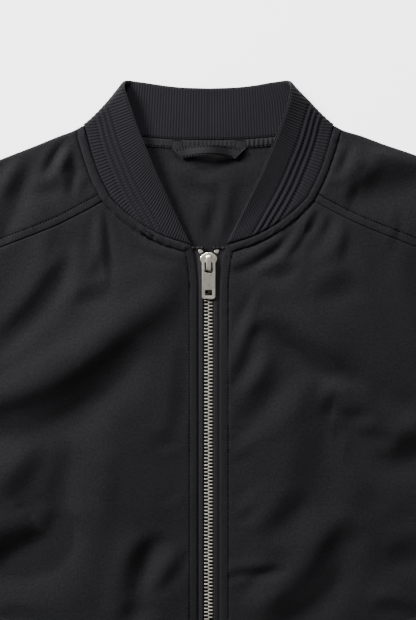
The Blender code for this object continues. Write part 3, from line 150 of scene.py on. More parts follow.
# Creases: across its line the cloth drops by `drop` from the left of the line to the right,
# evenly over twice the half width, and evens out again on both sides.  A negative drop rises.
Crease = namedtuple("Crease", "points half_width drop")
CREASES = [Crease(*row) for row in (
    # the wearer's right front
    (((-244, -279), (-190, -262), (-161, -256), (-134, -247), (-112, -232), (-94, -215), (-76, -199),
      (-58, -184), (-40, -166), (-24, -147), (-15, -135)), 14.0, 2.7),
    (((-262, -283), (-210, -264), (-170, -257), (-138, -248), (-114, -234), (-94, -218), (-78, -202),
      (-62, -189)), 16.0, 7.2),
    (((-200, -380), (-168, -340), (-156, -304), (-138, -272)), 24.0, 7.0),
    (((-76, -424), (-72, -370), (-71, -316), (-66, -271)), 22.0, 2.3),
    (((-200, -242), (-147, -214), (-111, -193), (-82, -174), (-48, -149), (-30, -134)), 12.6, -4.2),
    (((-199, -204), (-170, -174), (-152, -154), (-137, -131), (-127, -112)), 8.5, 4.2),
    (((-188, -174), (-172, -145), (-159, -120), (-150, -93)), 10.8, -2.0),
    (((-89, -141), (-91, -120), (-94, -98), (-96, -71)), 3.6, 2.4),
    (((-122, -152), (-103, -148), (-86, -138)), 7.0, 3.2),
    (((-112, -132), (-104, -107), (-100, -76)), 4.5, -1.6),
    (((-148, -123), (-141, -100), (-134, -82)), 5.4, 1.2),
    (((-130, -158), (-123, -127), (-116, -91)), 6.3, -1.4),
    (((-82, -84), (-76, -94), (-71, -107)), 2.3, 0.8),
    (((-38, -280), (-30, -248), (-28, -217), (-26, -184)), 6.0, 1.6),
    (((-56, -284), (-40, -275), (-24, -266)), 6.3, 0.7),
    (((-184, -330), (-166, -310), (-150, -285)), 8.1, 2.2),
    (((-193, -312), (-177, -291), (-163, -271)), 8.1, -0.4),
    (((-228, -404), (-190, -380), (-163, -374), (-145, -367), (-134, -342)), 16.0, 12.5),
    (((-82, -448), (-74, -410), (-66, -380), (-54, -366)), 8.0, 3.0),
    (((-74, -97), (-62, -106), (-48, -113), (-34, -117), (-21, -119)), 3.0, 1.6),
    (((-145, -384), (-139, -356), (-136, -325), (-130, -276)), 7.2, 1.4),
    (((-128, -406), (-118, -343), (-112, -289), (-94, -235)), 15.3, -1.8),
    (((-87, -357), (-87, -323), (-80, -285)), 6.3, 0.7),
    (((-72, -450), (-67, -411), (-62, -388), (-53, -374), (-38, -361)), 7.6, 3.2),
    (((-53, -410), (-46, -390), (-31, -372)), 7.2, -1.6),
    (((-51, -418), (-38, -404), (-28, -390), (-24, -377)), 5.4, 2.2),
    (((-87, -446), (-67, -430), (-47, -422)), 7.2, 1.8),
    (((-193, -436), (-172, -431), (-148, -436)), 5.4, 1.4),
    (((-179, -420), (-139, -413), (-100, -400)), 11.7, -1.2),
    (((-44, -339), (-33, -334), (-22, -327)), 3.6, -0.8),
    (((-44, -291), (-35, -288), (-24, -285)), 3.6, -0.8),
    # the wearer's left front
    (((11, -128), (31, -123), (48, -114), (73, -98)), 4.0, 2.8),
    (((41, -125), (59, -115), (71, -104), (80, -93), (88, -76)), 3.6, -2.2),
    (((68, -118), (79, -101), (85, -89), (92, -75)), 3.6, 2.0),
    (((43, -130), (62, -128), (79, -120)), 5.5, 3.4),
    (((85, -94), (93, -84), (98, -72)), 3.6, 2.6),
    (((98, -96), (104, -87), (107, -76)), 3.2, 2.0),
    (((91, -120), (107, -104), (116, -90), (119, -76)), 5.4, -2.2),
    (((117, -123), (121, -102), (120, -78)), 4.0, 1.3),
    (((92, -147), (113, -141), (133, -131)), 9.0, 3.2),
    (((127, -145), (134, -120), (134, -96)), 7.2, -0.9),
    (((20, -215), (28, -186), (37, -161), (45, -141)), 4.0, -2.2),
    (((20, -232), (29, -204), (38, -184), (52, -172)), 6.8, 3.0),
    (((26, -237), (39, -220), (52, -199)), 5.4, -2.0),
    (((22, -274), (36, -253), (50, -232), (60, -200)), 9.0, 2.4),
    (((46, -278), (64, -253), (77, -233), (88, -215)), 8.1, -1.9),
    (((42, -172), (60, -179), (80, -191), (98, -204), (112, -216), (126, -228)), 9.5, 6.6),
    (((69, -188), (87, -199), (102, -211), (117, -223)), 7.0, 3.4),
    (((100, -246), (116, -245), (134, -247), (150, -251)), 10.0, 7.0),
    (((112, -262), (130, -262), (150, -264), (170, -268)), 11.0, 8.0),
    (((126, -276), (146, -282), (166, -286), (186, -283), (204, -274), (222, -262)), 13.0, 8.2),
    (((196, -172), (189, -150), (182, -130), (176, -110)), 9.0, 2.6),
    (((122, -231), (147, -251), (168, -259), (190, -253)), 10.8, -1.8),
    (((54, -370), (74, -340), (87, -300), (93, -258), (98, -222)), 13.0, 3.4),
    (((44, -370), (64, -347), (86, -323)), 9.0, 1.8),
    (((28, -390), (48, -374), (73, -359), (100, -336)), 8.1, -1.2),
    (((104, -370), (115, -338), (124, -303)), 9.0, -1.2),
    (((46, -448), (69, -431), (87, -419), (103, -399), (111, -379), (121, -363), (134, -350)), 13.5, 9.6),
    (((127, -406), (144, -388), (159, -365), (168, -338)), 14.0, 2.6),
    (((26, -429), (53, -410), (75, -388)), 7.2, -1.6),
    (((11, -400), (28, -398), (48, -396), (72, -393)), 4.2, 3.0),
    (((160, -388), (179, -378), (204, -374)), 11.0, 4.6),
    (((145, -430), (163, -426), (190, -434)), 6.3, 2.8),
    (((127, -375), (140, -348), (143, -318)), 8.1, 1.4),
    (((19, -299), (30, -294), (41, -289)), 3.6, 0.9),
    (((23, -350), (32, -346), (43, -338)), 3.6, 1.1),
    (((25, -338), (35, -330), (43, -321)), 4.5, -0.9),
    (((25, -413), (34, -409), (41, -401)), 3.6, 1.1),
    (((23, -284), (34, -278), (48, -271)), 4.5, -0.8),
    # the yokes
    (((-197, -109), (-188, -87), (-181, -68), (-174, -50), (-168, -33), (-162, -22)), 7.2, 4.2),
    (((-195, -55), (-184, -39), (-173, -26)), 6.3, -2.2),
    (((-150, -39), (-143, -24), (-136, -15), (-127, -6)), 3.2, 1.8),
    (((-146, -47), (-138, -33), (-132, -20), (-125, -7)), 4.1, -2.6),
    (((-128, -61), (-126, -46), (-127, -28), (-128, -15)), 4.0, 2.6),
    (((-159, -53), (-143, -50), (-128, -51)), 5.9, 2.2),
    (((-120, -61), (-118, -48), (-115, -35)), 3.1, -1.3),
    (((-117, -51), (-111, -49), (-105, -46)), 2.7, 0.8),
    (((-164, -91), (-158, -71), (-150, -57)), 7.2, -1.1),
    (((116, -40), (121, -26), (127, -13)), 3.1, 2.0),
    (((116, -48), (126, -33), (131, -16)), 4.5, -1.6),
    (((129, -44), (140, -33), (151, -17)), 6.3, -1.5),
    (((110, -70), (124, -57), (143, -46), (163, -43), (187, -40), (212, -36)), 14.0, 5.6),
    (((128, -73), (127, -60), (134, -48)), 4.0, 1.8),
    (((163, -112), (167, -91), (170, -69)), 4.0, 1.2),
    (((107, -50), (113, -50), (119, -50)), 2.7, 0.8),
    # below the zip's middle, and at the sides
    (((-214, -484), (-150, -486), (-84, -470), (-30, -448)), 11.0, 3.6),
    (((-226, -566), (-150, -562), (-80, -540), (-30, -500)), 12.0, 4.0),
    (((-206, -520), (-140, -524), (-70, -506)), 9.0, -2.0),
    (((-196, -600), (-120, -592), (-58, -572)), 8.0, 2.2),
    (((-58, -612), (-50, -580), (-30, -548)), 6.0, 1.6),
    (((-250, -440), (-238, -400), (-240, -350)), 10.0, 2.0),
    (((-262, -300), (-240, -284), (-206, -262)), 11.0, 3.4),
    (((-266, -250), (-240, -228), (-214, -196)), 9.0, 2.4),
    (((36, -538), (84, -556), (150, -566), (222, -548)), 12.0, 3.8),
    (((30, -470), (92, -506), (150, -520), (226, -508)), 11.0, 4.2),
    (((60, -448), (120, -476), (180, -484)), 10.0, -2.0),
    (((70, -600), (130, -604), (200, -590)), 8.0, 2.0),
    (((226, -470), (236, -420), (232, -360)), 9.0, 1.8),
    (((206, -268), (236, -286), (262, -300)), 10.0, 3.4),
    (((214, -200), (238, -226), (262, -246)), 9.0, 2.4),
    # the sleeves
    (((268, -196), (300, -176), (338, -150)), 9.0, 3.2),
    (((290, -236), (330, -214), (372, -186)), 10.0, 3.4),
    (((316, -276), (352, -262), (392, -236)), 9.0, 2.6),
    (((258, -120), (292, -140), (330, -146)), 8.0, 2.0),
    (((380, -330), (408, -300), (430, -262)), 8.0, -1.8),
    (((420, -340), (452, -318), (482, -300)), 9.0, 3.2),
    (((436, -392), (476, -372), (516, -356)), 10.0, 3.4),
    (((456, -424), (500, -414), (540, -398)), 8.0, 2.6),
    (((500, -470), (536, -456), (570, -446)), 8.0, 2.4),
    (((-344, -150), (-306, -162), (-270, -188)), 9.0, 3.2),
    (((-384, -196), (-340, -206), (-296, -236)), 10.0, 3.4),
    (((-402, -250), (-362, -256), (-322, -284)), 9.0, 2.6),
    (((-336, -132), (-300, -128), (-262, -134)), 8.0, 2.0),
    (((-430, -262), (-412, -300), (-388, -336)), 8.0, -1.8),
    (((-490, -318), (-462, -322), (-428, -346)), 9.0, 3.0),
    (((-528, -372), (-486, -374), (-446, -398)), 10.0, 3.4),
    (((-552, -418), (-510, -420), (-470, -436)), 8.0, 2.4),
    (((-572, -462), (-540, -462), (-508, -478)), 8.0, 2.4),
)]
BACK_CREASES = [Crease(*row) for row in (
    (((-12, -110), (-22, -88), (-34, -62), (-46, -34), (-54, -14)), 6.0, 2.2),
    (((-49, -33), (-33, -41), (-17, -48), (-2, -53), (9, -56)), 4.5, 2.0),
    (((-13, -46), (2, -40), (16, -32)), 6.3, -1.8),
    (((-7, -102), (-1, -82), (6, -65), (10, -53)), 4.5, 1.6),
    (((4, -104), (9, -82), (13, -60), (12, -44)), 3.6, -1.5),
    (((15, -100), (19, -77), (23, -60), (30, -42)), 6.3, 2.2),
    (((-24, -84), (-16, -67), (-9, -53)), 8.1, -1.2),
    (((28, -36), (35, -26), (41, -18)), 2.7, 1.1),
    (((37, -35), (44, -24), (48, -15)), 3.6, -1.0),
    (((-44, -26), (-33, -33), (-22, -37)), 5.4, 1.2),
)]
CREASE_DEPTH = 1.45        # multiplies every drop
LIE_LEFT = 2.8             # how far the shoulders and the collar's corner lie off the pattern
LIE_RIGHT = 1.6
LIE_CORNER = 2.4
LOWEST = -2.7              # the upper layer's creases even out below this
LOWEST_BLEND = 0.6
CREASE_REACH = 4.0         # half widths past which a crease is left out
CREASE_TAPER = 0.7
CREASE_END_WIDTH = 0.6     # share of its width that is left at its ends
CREASE_FADE = 1.6
CREASE_CLEAR = (6.0, 3.6)  # creases start this far from a seam and grow over this
EDGE_CALM = 10.0           # creases and ripples fade over this far to a folded edge
RIPPLE_CALM = 14.0         # and ripples over this far to a seam
RIPPLES = ((0.5, 34.0, 3), (0.16, 13.0, 4))         # height, size and seed of each

# ---- seams --------------------
PILLOW = 1.5               # rise of a topstitched allowance at the neck
FLAT_PILLOW = 0.35         # and elsewhere
STITCH_DENT = 1.35         # how far the stitches draw the cloth down at the neck
FLAT_DENT = 0.35           # and elsewhere
STITCH_DENT_WIDTH = 0.9
EDGE_ROLL = 1.5            # over which a panel's face rolls down to its seam
BANK_RISE = (0.1, 0.2)     # of the low bank past the stitches, and how much the neck adds
BANK_AT = 3.4
BANK_WIDTH = 2.4
PUCKER_RISE = 0.42
PUCKER_WAVES = ((8.3, 1.0), (12.7, 0.7), (5.6, 0.5))    # length and share of each
PUCKER_SWELL = (71.0, 23.0)                             # lengths over which they swell and ebb
NECK_PUCKERS = 1.8         # the neck's puckers against the others
HEM_GATHERS = 1.6
CUFF_GATHERS = 2.2
SIDE_SEEDS = (20, 60)      # of the puckers on the wearer's left and right
STITCH_PITCH = 2.7
STITCH_LENGTH = 1.9
THREAD_HALF = 0.58

SEAM_STEPS = (0.25, 0.7, 1.4, 2.6, 4.0, 5.4, 6.4, 7.1, 7.6, 8.1, 8.8, 10.0, 12.0)
EDGE_STEPS = (0.15, 0.5, 1.1, 2.2, 4.0)
PLAIN_STEPS = (0.25, 0.7, 1.4, 2.6)


# ---- curves and places --------------------
NOISE_CELLS = 97
NOISE_SHIFT = 400.0


def smooth_path(points, steps=10):
    """Catmull-Rom curve through the points: each span is a cubic of its four nearest points."""
    pts = np.asarray(points, float)
    ends = np.vstack([2 * pts[0] - pts[1], pts, 2 * pts[-1] - pts[-2]])
    t = np.linspace(0.0, 1.0, steps, endpoint=False)[:, None]
    spans = []
    for a, b, c, d in zip(ends[:-3], ends[1:-2], ends[2:-1], ends[3:]):
        spans.append(0.5 * (2 * b + (c - a) * t + (2 * a - 5 * b + 4 * c - d) * t ** 2
                            + (3 * b - a - 3 * c + d) * t ** 3))
    return np.vstack(spans + [pts[-1:]])


def length_along(path):
    """Length from a path's start to each of its points: the running sum of its steps."""
    return np.concatenate([[0.0], np.cumsum(np.linalg.norm(np.diff(path, axis=0), axis=1))])


def at_lengths(path, lengths):
    """Points of a path at given lengths from its start."""
    along = length_along(path)
    return np.stack([np.interp(lengths, along, path[:, k]) for k in range(path.shape[1])], 1)


def spread(path, spacing, start=(), end=()):
    """Points evenly along a path, with finer ones at set lengths from its two ends."""
    total = length_along(path)[-1]
    first, last = max(start, default=0.0), total - max(end, default=0.0)
    inner = np.linspace(first, last, max(2, int((last - first) / spacing)))
    marks = np.concatenate([[0.0], start, inner, total - np.asarray(end, float), [total]])
    return at_lengths(path, np.unique(np.round(marks, 6)))


def matched(path, line, start=(), end=()):
    """As many points of a path as a line has, at the same shares of its length."""
    total = length_along(path)[-1]
    along = length_along(line) / length_along(line)[-1] * total
    along[1:1 + len(start)] = start
    along[len(along) - 1 - len(end):-1] = total - np.array(end[::-1])
    return at_lengths(path, along)


def smoothstep(value):
    """3 v^2 - 2 v^3, with v clipped to 0 and 1."""
    value = np.clip(value, 0.0, 1.0)
    return value * value * (3.0 - 2.0 * value)


def grown(value, start, over):
    """0 up to a start, 1 from that far past it on, and a smooth rise between."""
    return smoothstep((value - start) / over)


def quarter_round(distance, width):
    """A rounded edge, 0 to 1: a quarter circle over its width, and level from there."""
    return np.sqrt(1.0 - (1.0 - np.clip(distance / width, 0.0, 1.0)) ** 2)


def squared(value, power):
    """A value's size to a power, with its own sign: a power under 1 makes a circle squarer."""
    return np.sign(value) * np.abs(value) ** power


def angles(count, shift=0.5):
    """Angles evenly round a circle, the first a share of a step from zero."""
    return 2 * np.pi * (np.arange(count) + shift) / count


def nearest(points, path):
    """For each point: its distance to a path, the direction to it, and the length along it."""
    start, span = path[:-1], np.diff(path, axis=0)
    square = (span ** 2).sum(1)
    rel = points[:, None, :] - start[None]
    share = np.clip((rel * span).sum(2) / square, 0.0, 1.0)
    foot = start + share[..., None] * span
    gap = np.linalg.norm(points[:, None, :] - foot, axis=2)
    best = gap.argmin(1)
    rows = np.arange(len(points))
    normal = np.stack([span[:, 1], -span[:, 0]], 1) / np.sqrt(square)[:, None]
    side = np.sign(((foot[rows, best] - points) * normal[best]).sum(1))
    side = np.where(side == 0.0, 1.0, side)
    lengths = length_along(path)[best] + share[rows, best] * np.sqrt(square)[best]
    return gap[rows, best], normal[best] * side[:, None], lengths


def soft_noise(points, size, seed):
    """Value noise from -1 to 1: random heights on a lattice of that size, blended smoothly."""
    lattice = np.random.default_rng(seed).uniform(-1.0, 1.0, (NOISE_CELLS, NOISE_CELLS))
    at = points / size + NOISE_SHIFT
    cell = np.floor(at).astype(int)
    u, v = smoothstep(at - cell).T
    i, j = cell.T % NOISE_CELLS
    k, m = (i + 1) % NOISE_CELLS, (j + 1) % NOISE_CELLS
    return ((lattice[i, j] * (1 - u) + lattice[k, j] * u) * (1 - v)
            + (lattice[i, m] * (1 - u) + lattice[k, m] * u) * v)


def moved_left(path, distance):
    """A path moved to the left of its own direction."""
    way = np.gradient(path, axis=0)
    way /= np.linalg.norm(way, axis=1)[:, None]
    return path + distance * np.column_stack([-way[:, 1], way[:, 0]])


def on_left(points):
    """The same places on the wearer's left, and the sign of x that brings them back."""
    sign = np.where(points[:, 0] < 0.0, -1.0, 1.0)
    return np.column_stack([points[:, 0] * sign, points[:, 1]]), sign


# ---- heights of the two layers --------------------
FOLDED_EDGES = [smooth_path(SHOULDER), smooth_path(SLEEVE_OUTER),
                smooth_path(SLEEVE_UNDER)[::-1], smooth_path(SIDE)]
NECK_LINES = [smooth_path(SIDE_NECK), smooth_path(FRONT_NECK)]
FRONT_SEAMS = np.vstack([smooth_path(FRONT_LINE)[::-1], smooth_path(FRONT_NECK)[1:],
                         smooth_path(SIDE_NECK)[1:]])
YOKE_ROLL = smooth_path(YOKE_SEAM, 30)[11:]      # the yoke seam, from the neck's topstitching on
FRONT_CORNER = length_along(smooth_path(FRONT_LINE))[-1]
ARM_LINE = np.vstack([smooth_path(ARM_LOWER)[::-1], smooth_path(ARM_UPPER)[1:]])


def from_folded_edge(points):
    """Distance to the nearest folded edge, and the direction out to it."""
    places, sign = on_left(points)
    found = [nearest(places, edge) for edge in FOLDED_EDGES]
    gaps = np.stack([gap for gap, _, _ in found])
    best = gaps.argmin(0)
    outward = np.stack([way for _, way, _ in found])[best, np.arange(len(points))]
    outward[:, 0] *= sign
    return gaps.min(0), outward


def edge_turn(edge):
    """Near a folded edge: the share of its radius still to go out, and the rise there.

    The rise is 1 past the radius, and falls to 0 at the edge as a quarter circle.
    """
    inset = np.clip((FOLD_RADIUS - edge) / FOLD_RADIUS, 0.0, 1.0)
    return inset, np.sqrt(1.0 - inset ** 2)


def fold_height(points):
    """Sum of the folds: each is a Gaussian bar along a curve, lower at its two ends."""
    total = np.zeros(len(points))
    t = np.linspace(0.0, 1.0, 13)
    bend = np.stack([(1.0 - t) ** 2, 2.0 * t * (1.0 - t), t ** 2], 1)
    for fold in FOLDS:
        line = bend @ np.array([fold.start, fold.middle, fold.end])
        gap, _, length = nearest(points, line)
        share = length / length_along(line)[-1]
        taper = smoothstep(share / FOLD_END) * smoothstep((1.0 - share) / FOLD_END)
        taper = FOLD_LEFT + (1.0 - FOLD_LEFT) * taper
        total += fold.height * taper * np.exp(-(gap / fold.half_width) ** 2)
    return total


def beside(points, path):
    """For each point: its distance to a path, positive on its right, and the share along it."""
    gap, way, length = nearest(points, path)
    ahead = at_lengths(path, length + 0.5) - at_lengths(path, length - 0.5)
    turn = way[:, 0] * ahead[:, 1] - way[:, 1] * ahead[:, 0]
    return -np.sign(turn) * gap, length / length_along(path)[-1]


def crease_height(points, creases):
    """Sum of the creases.

    With u = distance / half width, one is -drop / 2 by u / (1 + u^4)^(1/4), which is straight
    out to u = 1 and level past it, and fades as a Gaussian from there.
    """
    total = np.zeros(len(points))
    for crease in creases:
        line = smooth_path(crease.points, 6)
        reach = CREASE_REACH * crease.half_width
        near = ((points > line.min(0) - reach) & (points < line.max(0) + reach)).all(1)
        if not near.any():
            continue
        gap, share = beside(points[near], line)
        taper = np.sin(np.pi * np.clip(share, 0.0, 1.0)) ** CREASE_TAPER
        width = crease.half_width * (CREASE_END_WIDTH + (1.0 - CREASE_END_WIDTH) * taper)
        u = gap / width
        fade = np.exp(-np.maximum(np.abs(u) - 1.0, 0.0) ** 2 / CREASE_FADE)
        total[near] -= crease.drop / 2 * taper * u / (1.0 + u ** 4) ** 0.25 * fade
    return CREASE_DEPTH * total


def from_seam(points):
    """Distance to the nearest seam that holds the upper layer down: neck, zip, hem or cuff."""
    places, _ = on_left(points)
    seams = [nearest(places, line)[0] for line in NECK_LINES]
    seams += [places[:, 0] - FRONT_EDGE, np.abs(places[:, 1] - HEM_SEAM_Y)]
    cuff = np.abs((CUFF_SEAM_OUTER - places) @ SLEEVE_ALONG)
    seams.append(np.where(places[:, 0] > SLEEVE_ELBOW_START[0], cuff, np.inf))
    return np.min(seams, axis=0)


def relief(points):
    """How far the upper layer rises: its lift, folds, creases and ripples, kept over LOWEST.

    With a = height - LOWEST, the last step gives LOWEST + (a + (a^2 + LOWEST_BLEND)^(1/2)) / 2.
    """
    edge, _ = from_folded_edge(points)
    seam = from_seam(points)
    lift = LIFT * smoothstep(edge / LIFT_REACH) * smoothstep(seam / LIFT_CALM)
    height = lift + fold_height(points) * grown(edge, *FOLD_CLEAR) * grown(seam, *FOLD_CALM)
    height = np.where(height < 0.0, height * TROUGH_SHARE, height)
    ripple = sum(rise * soft_noise(points, size, seed) for rise, size, seed in RIPPLES)
    creased = crease_height(points, CREASES) * grown(seam, *CREASE_CLEAR)
    height += (creased + ripple * smoothstep(seam / RIPPLE_CALM)) * smoothstep(edge / EDGE_CALM)
    above = height - LOWEST
    return LOWEST + (above + np.sqrt(above ** 2 + LOWEST_BLEND)) / 2


def puckers(along, gap, at, width, seed):
    """Waves across a seam: three sines along it with seeded phases, which swell and ebb.

    They fade as a Gaussian off the line that lies `at` from the seam.
    """
    phase = np.random.default_rng(seed).uniform(0.0, 2.0 * np.pi, 6)
    waves = sum(share * np.sin(2 * np.pi * along / length + start)
                for (length, share), start in zip(PUCKER_WAVES, phase))
    swell = np.sin(2 * np.pi * along / PUCKER_SWELL[0] + phase[3])
    ebb = np.sin(along / PUCKER_SWELL[1] + phase[4])
    return waves * (0.55 + 0.45 * swell * ebb) * np.exp(-((gap - at) / width) ** 2)


def allowance(gap, along, seed, neck, drawn=1.0):
    """A topstitched allowance: a pillow from the seam to the stitches, a dent, and puckers.

    With s = gap / TOPSTITCH the pillow is sin(pi s)^(1/2) by 1 - s / 4.  The dent and the low
    bank past it are Gaussians.  It is full at the neck (neck 1 or more), where the collar
    pads it, and flatter elsewhere (neck 0).
    """
    share = np.clip(gap / TOPSTITCH, 0.0, 1.0)
    rise = FLAT_PILLOW + (PILLOW - FLAT_PILLOW) * neck
    pillow = rise * np.sin(np.pi * share) ** 0.5 * (1.0 - 0.25 * share)
    depth = FLAT_DENT + (STITCH_DENT - FLAT_DENT) * neck
    dent = depth * np.exp(-((gap - TOPSTITCH) / STITCH_DENT_WIDTH) ** 2)
    bank = BANK_RISE[0] + BANK_RISE[1] * neck
    bank = bank * np.exp(-((gap - TOPSTITCH - BANK_AT) / BANK_WIDTH) ** 2)
    small = puckers(along * 0.8, gap, at=TOPSTITCH, width=5.0, seed=seed)
    full = puckers(along * 1.5, gap, at=TOPSTITCH - 2.6, width=4.6, seed=seed)
    wave = PUCKER_RISE * (small * np.maximum(1.0 - neck, 0.0) + NECK_PUCKERS * full * neck)
    return pillow - dent + bank + wave * drawn


def plain_seam(gap, along, seed):
    """A seam with no topstitching: small puckers that fade away from it."""
    return 0.3 * PUCKER_RISE * puckers(along, gap, at=2.0, width=6.0, seed=seed)


def side_seed(points):
    """Seed of the puckers on the side that the places lie on."""
    return SIDE_SEEDS[0] if points[:, 0].mean() > 0.0 else SIDE_SEEDS[1]


def neck_fullness(points):
    """The neck's allowance is fuller on the wearer's right."""
    return np.where(points[:, 0] < 0.0, 1.5, 1.0)


def drawn_in(points, along):
    """How strongly the neck's topstitching puckers: most near the zip on the wearer's right."""
    near_zip = np.exp(-((along - FRONT_CORNER - 36.0) / 20.0) ** 2)
    return np.where(points[:, 0] < 0.0, 0.15 + 1.7 * near_zip, 0.7)


def front_relief(points):
    """A front: the layer's own relief, its stitched edges, its plain seams, and the hem's gathers."""
    places, _ = on_left(points)
    seed = side_seed(points)
    gap, _, along = nearest(places, FRONT_SEAMS)
    arm_gap, _, arm_along = nearest(places, ARM_LINE)
    yoke_gap, _, yoke_along = nearest(places, smooth_path(YOKE_SEAM))
    hem_gap = places[:, 1] - HEM_SEAM_Y
    neck = grown(along, FRONT_CORNER - 7.0, 14.0) * neck_fullness(points)
    sewn = allowance(gap, along, seed, neck, drawn_in(points, along))
    past_neck = grown(gap, TOPSTITCH, 4.0)
    plain = plain_seam(arm_gap, arm_along, seed + 1)
    plain += plain_seam(yoke_gap, yoke_along, seed + 2) * past_neck
    gathers = puckers(places[:, 0] * 0.8, hem_gap, at=1.0, width=14.0, seed=seed + 3)
    return relief(points) + sewn + plain + PUCKER_RISE * HEM_GATHERS * gathers


def yoke_relief(points):
    """A yoke: the layer's own relief, its stitched neck and lower seam, and its plain arm seam."""
    places, _ = on_left(points)
    seed = side_seed(points)
    neck_gap, _, neck_along = nearest(places, FRONT_SEAMS)
    gap, _, along = nearest(places, smooth_path(YOKE_SEAM))
    arm_gap, _, arm_along = nearest(places, ARM_LINE)
    edge, _ = from_folded_edge(points)
    drawn = drawn_in(points, neck_along)
    sewn = allowance(neck_gap, neck_along, seed, neck_fullness(points), drawn)
    sewn += allowance(gap, along, seed + 5, 0.0) * grown(neck_gap, TOPSTITCH - 1.2, 2.2)
    return relief(points) + sewn * smoothstep(edge / 9.0) + plain_seam(arm_gap, arm_along, seed + 6)


def sleeve_relief(points):
    """A sleeve: the layer's own relief, its plain arm seam, and the gathers over its cuff."""
    places, _ = on_left(points)
    seed = side_seed(points) + 9
    arm_gap, _, arm_along = nearest(places, ARM_LINE)
    across = (places - CUFF_SEAM_OUTER) @ SLEEVE_IN
    cuff_gap = (CUFF_SEAM_OUTER - places) @ SLEEVE_ALONG
    edge, _ = from_folded_edge(points)
    gathers = puckers(across, cuff_gap, at=1.0, width=20.0, seed=seed + 2)
    sewn = plain_seam(arm_gap, arm_along, seed + 1) + PUCKER_RISE * CUFF_GATHERS * gathers
    return relief(points) + sewn * smoothstep(edge / 8.0)


def slopes(heights, places):
    """Slope of a height along X and along Y on a grid, from its changes along rows and columns."""
    by_row, by_column = np.gradient(heights)
    x_row, x_column = np.gradient(places[..., 0])
    y_row, y_column = np.gradient(places[..., 1])
    size = x_row * y_column - x_column * y_row
    size = np.where(np.abs(size) < 1e-9, 1e-9, size)
    return ((by_row * y_column - by_column * y_row) / size,
            (by_column * x_row - by_row * x_column) / size)


def upper_layer(places, height_of):
    """Middle surface of the upper layer on a grid of flat places, and its normal.

    Within FOLD_RADIUS of a folded edge it follows a quarter circle out and down to it.
    """
    flat = places.reshape(-1, 2)
    heights = height_of(flat).reshape(places.shape[:2])
    edge, outward = from_folded_edge(flat)
    inset, rise = edge_turn(edge.reshape(heights.shape))
    slope_x, slope_y = slopes(heights, places)
    normal = np.stack([-slope_x, -slope_y, np.ones(heights.shape)], -1) * rise[..., None]
    normal[..., :2] += outward.reshape(places.shape) * inset[..., None]
    normal /= np.linalg.norm(normal, axis=-1, keepdims=True)
    return np.dstack([places, MIDDLE_Z + FOLD_RADIUS * rise + heights]), normal


def lower_layer(places):
    """Middle surface of the lower layer, flat on the ground, and its downward normal."""
    edge, outward = from_folded_edge(places.reshape(-1, 2))
    inset, rise = edge_turn(edge.reshape(places.shape[:2]))
    normal = np.dstack([outward.reshape(places.shape) * inset[..., None], -rise])
    return np.dstack([places, MIDDLE_Z - FOLD_RADIUS * rise]), normal


# ---- grids and meshes --------------------
def filled_grid(bottom, top, left, right):
    """Coons patch: the sum of the two ruled surfaces between its edges less their corners'."""
    def shares(*edges):
        return sum(length_along(edge) / length_along(edge)[-1] for edge in edges) / 2

    u, v = shares(bottom, top)[None, :, None], shares(left, right)[:, None, None]
    corners = ((1 - u) * (1 - v) * bottom[0] + u * (1 - v) * bottom[-1]
               + (1 - u) * v * top[0] + u * v * top[-1])
    return ((1 - v) * bottom[None] + v * top[None]
            + (1 - u) * left[:, None] + u * right[:, None] - corners)


def outline_of(grid):
    """The closed outline of a grid of places, once round."""
    return np.vstack([grid[0], grid[:, -1], grid[-1, ::-1], grid[::-1, 0]])


def pulled_in(grid):
    """Moves a grid's four edges inwards by a quarter of the solids' gap, so that seams look shut."""
    inner = grid.copy()
    for moved, fixed in ((inner, grid), (inner.transpose(1, 0, 2), grid.transpose(1, 0, 2))):
        for edge, beside_it in ((0, 1), (-1, -2)):
            way = fixed[beside_it] - fixed[edge]
            moved[edge] += SEAM_GAP / 4 * way / np.linalg.norm(way, axis=-1)[:, None]
    return inner


def mirror_grid(grid):
    """The same grid on the wearer's right, with its columns turned round."""
    return grid[:, ::-1] * [-1.0, 1.0]


def as_laid(points):
    """The garment lies a little unevenly: its shoulders and one collar corner are shifted."""
    x, y, z = points.T
    up = LIE_LEFT * grown(x, 135.0, 80.0) - LIE_RIGHT * grown(-x, 115.0, 30.0)
    corner = grown(x, 40.0, 20.0) * grown(y, 22.0, 18.0)
    return np.column_stack([x - LIE_CORNER * corner, y + up * grown(y, -110.0, 60.0), z])


def mesh_piece(name, points, quads, uv=None, smooth=True):
    """Makes a mesh object of points in millimetres, turned outwards, at the world's origin."""
    places = (as_laid(points) + [0.0, ORIGIN_Y, 0.0]) * MM
    a, b, c, d = (places[quads[:, k]] for k in range(4))
    volume = (np.cross(b - a, c - a) * a).sum() + (np.cross(c - a, d - a) * a).sum()
    if volume < 0.0:
        quads = quads[:, ::-1]
    mesh = bpy.data.meshes.new(name)
    mesh.vertices.add(len(places))
    mesh.vertices.foreach_set("co", places.astype(np.float32).ravel())
    mesh.loops.add(quads.size)
    mesh.loops.foreach_set("vertex_index", quads.astype(np.int32).ravel())
    mesh.polygons.add(len(quads))
    mesh.polygons.foreach_set("loop_start", np.arange(0, quads.size, 4, dtype=np.int32))
    mesh.update(calc_edges=True)
    if uv is not None:
        layer = mesh.uv_layers.new(name="cut")
        layer.data.foreach_set("uv", (uv[quads.ravel()] * MM).astype(np.float32).ravel())
    if smooth:
        mesh.shade_smooth()
    piece = bpy.data.objects.new(name, mesh)
    bpy.context.scene.collection.objects.link(piece)
    return piece


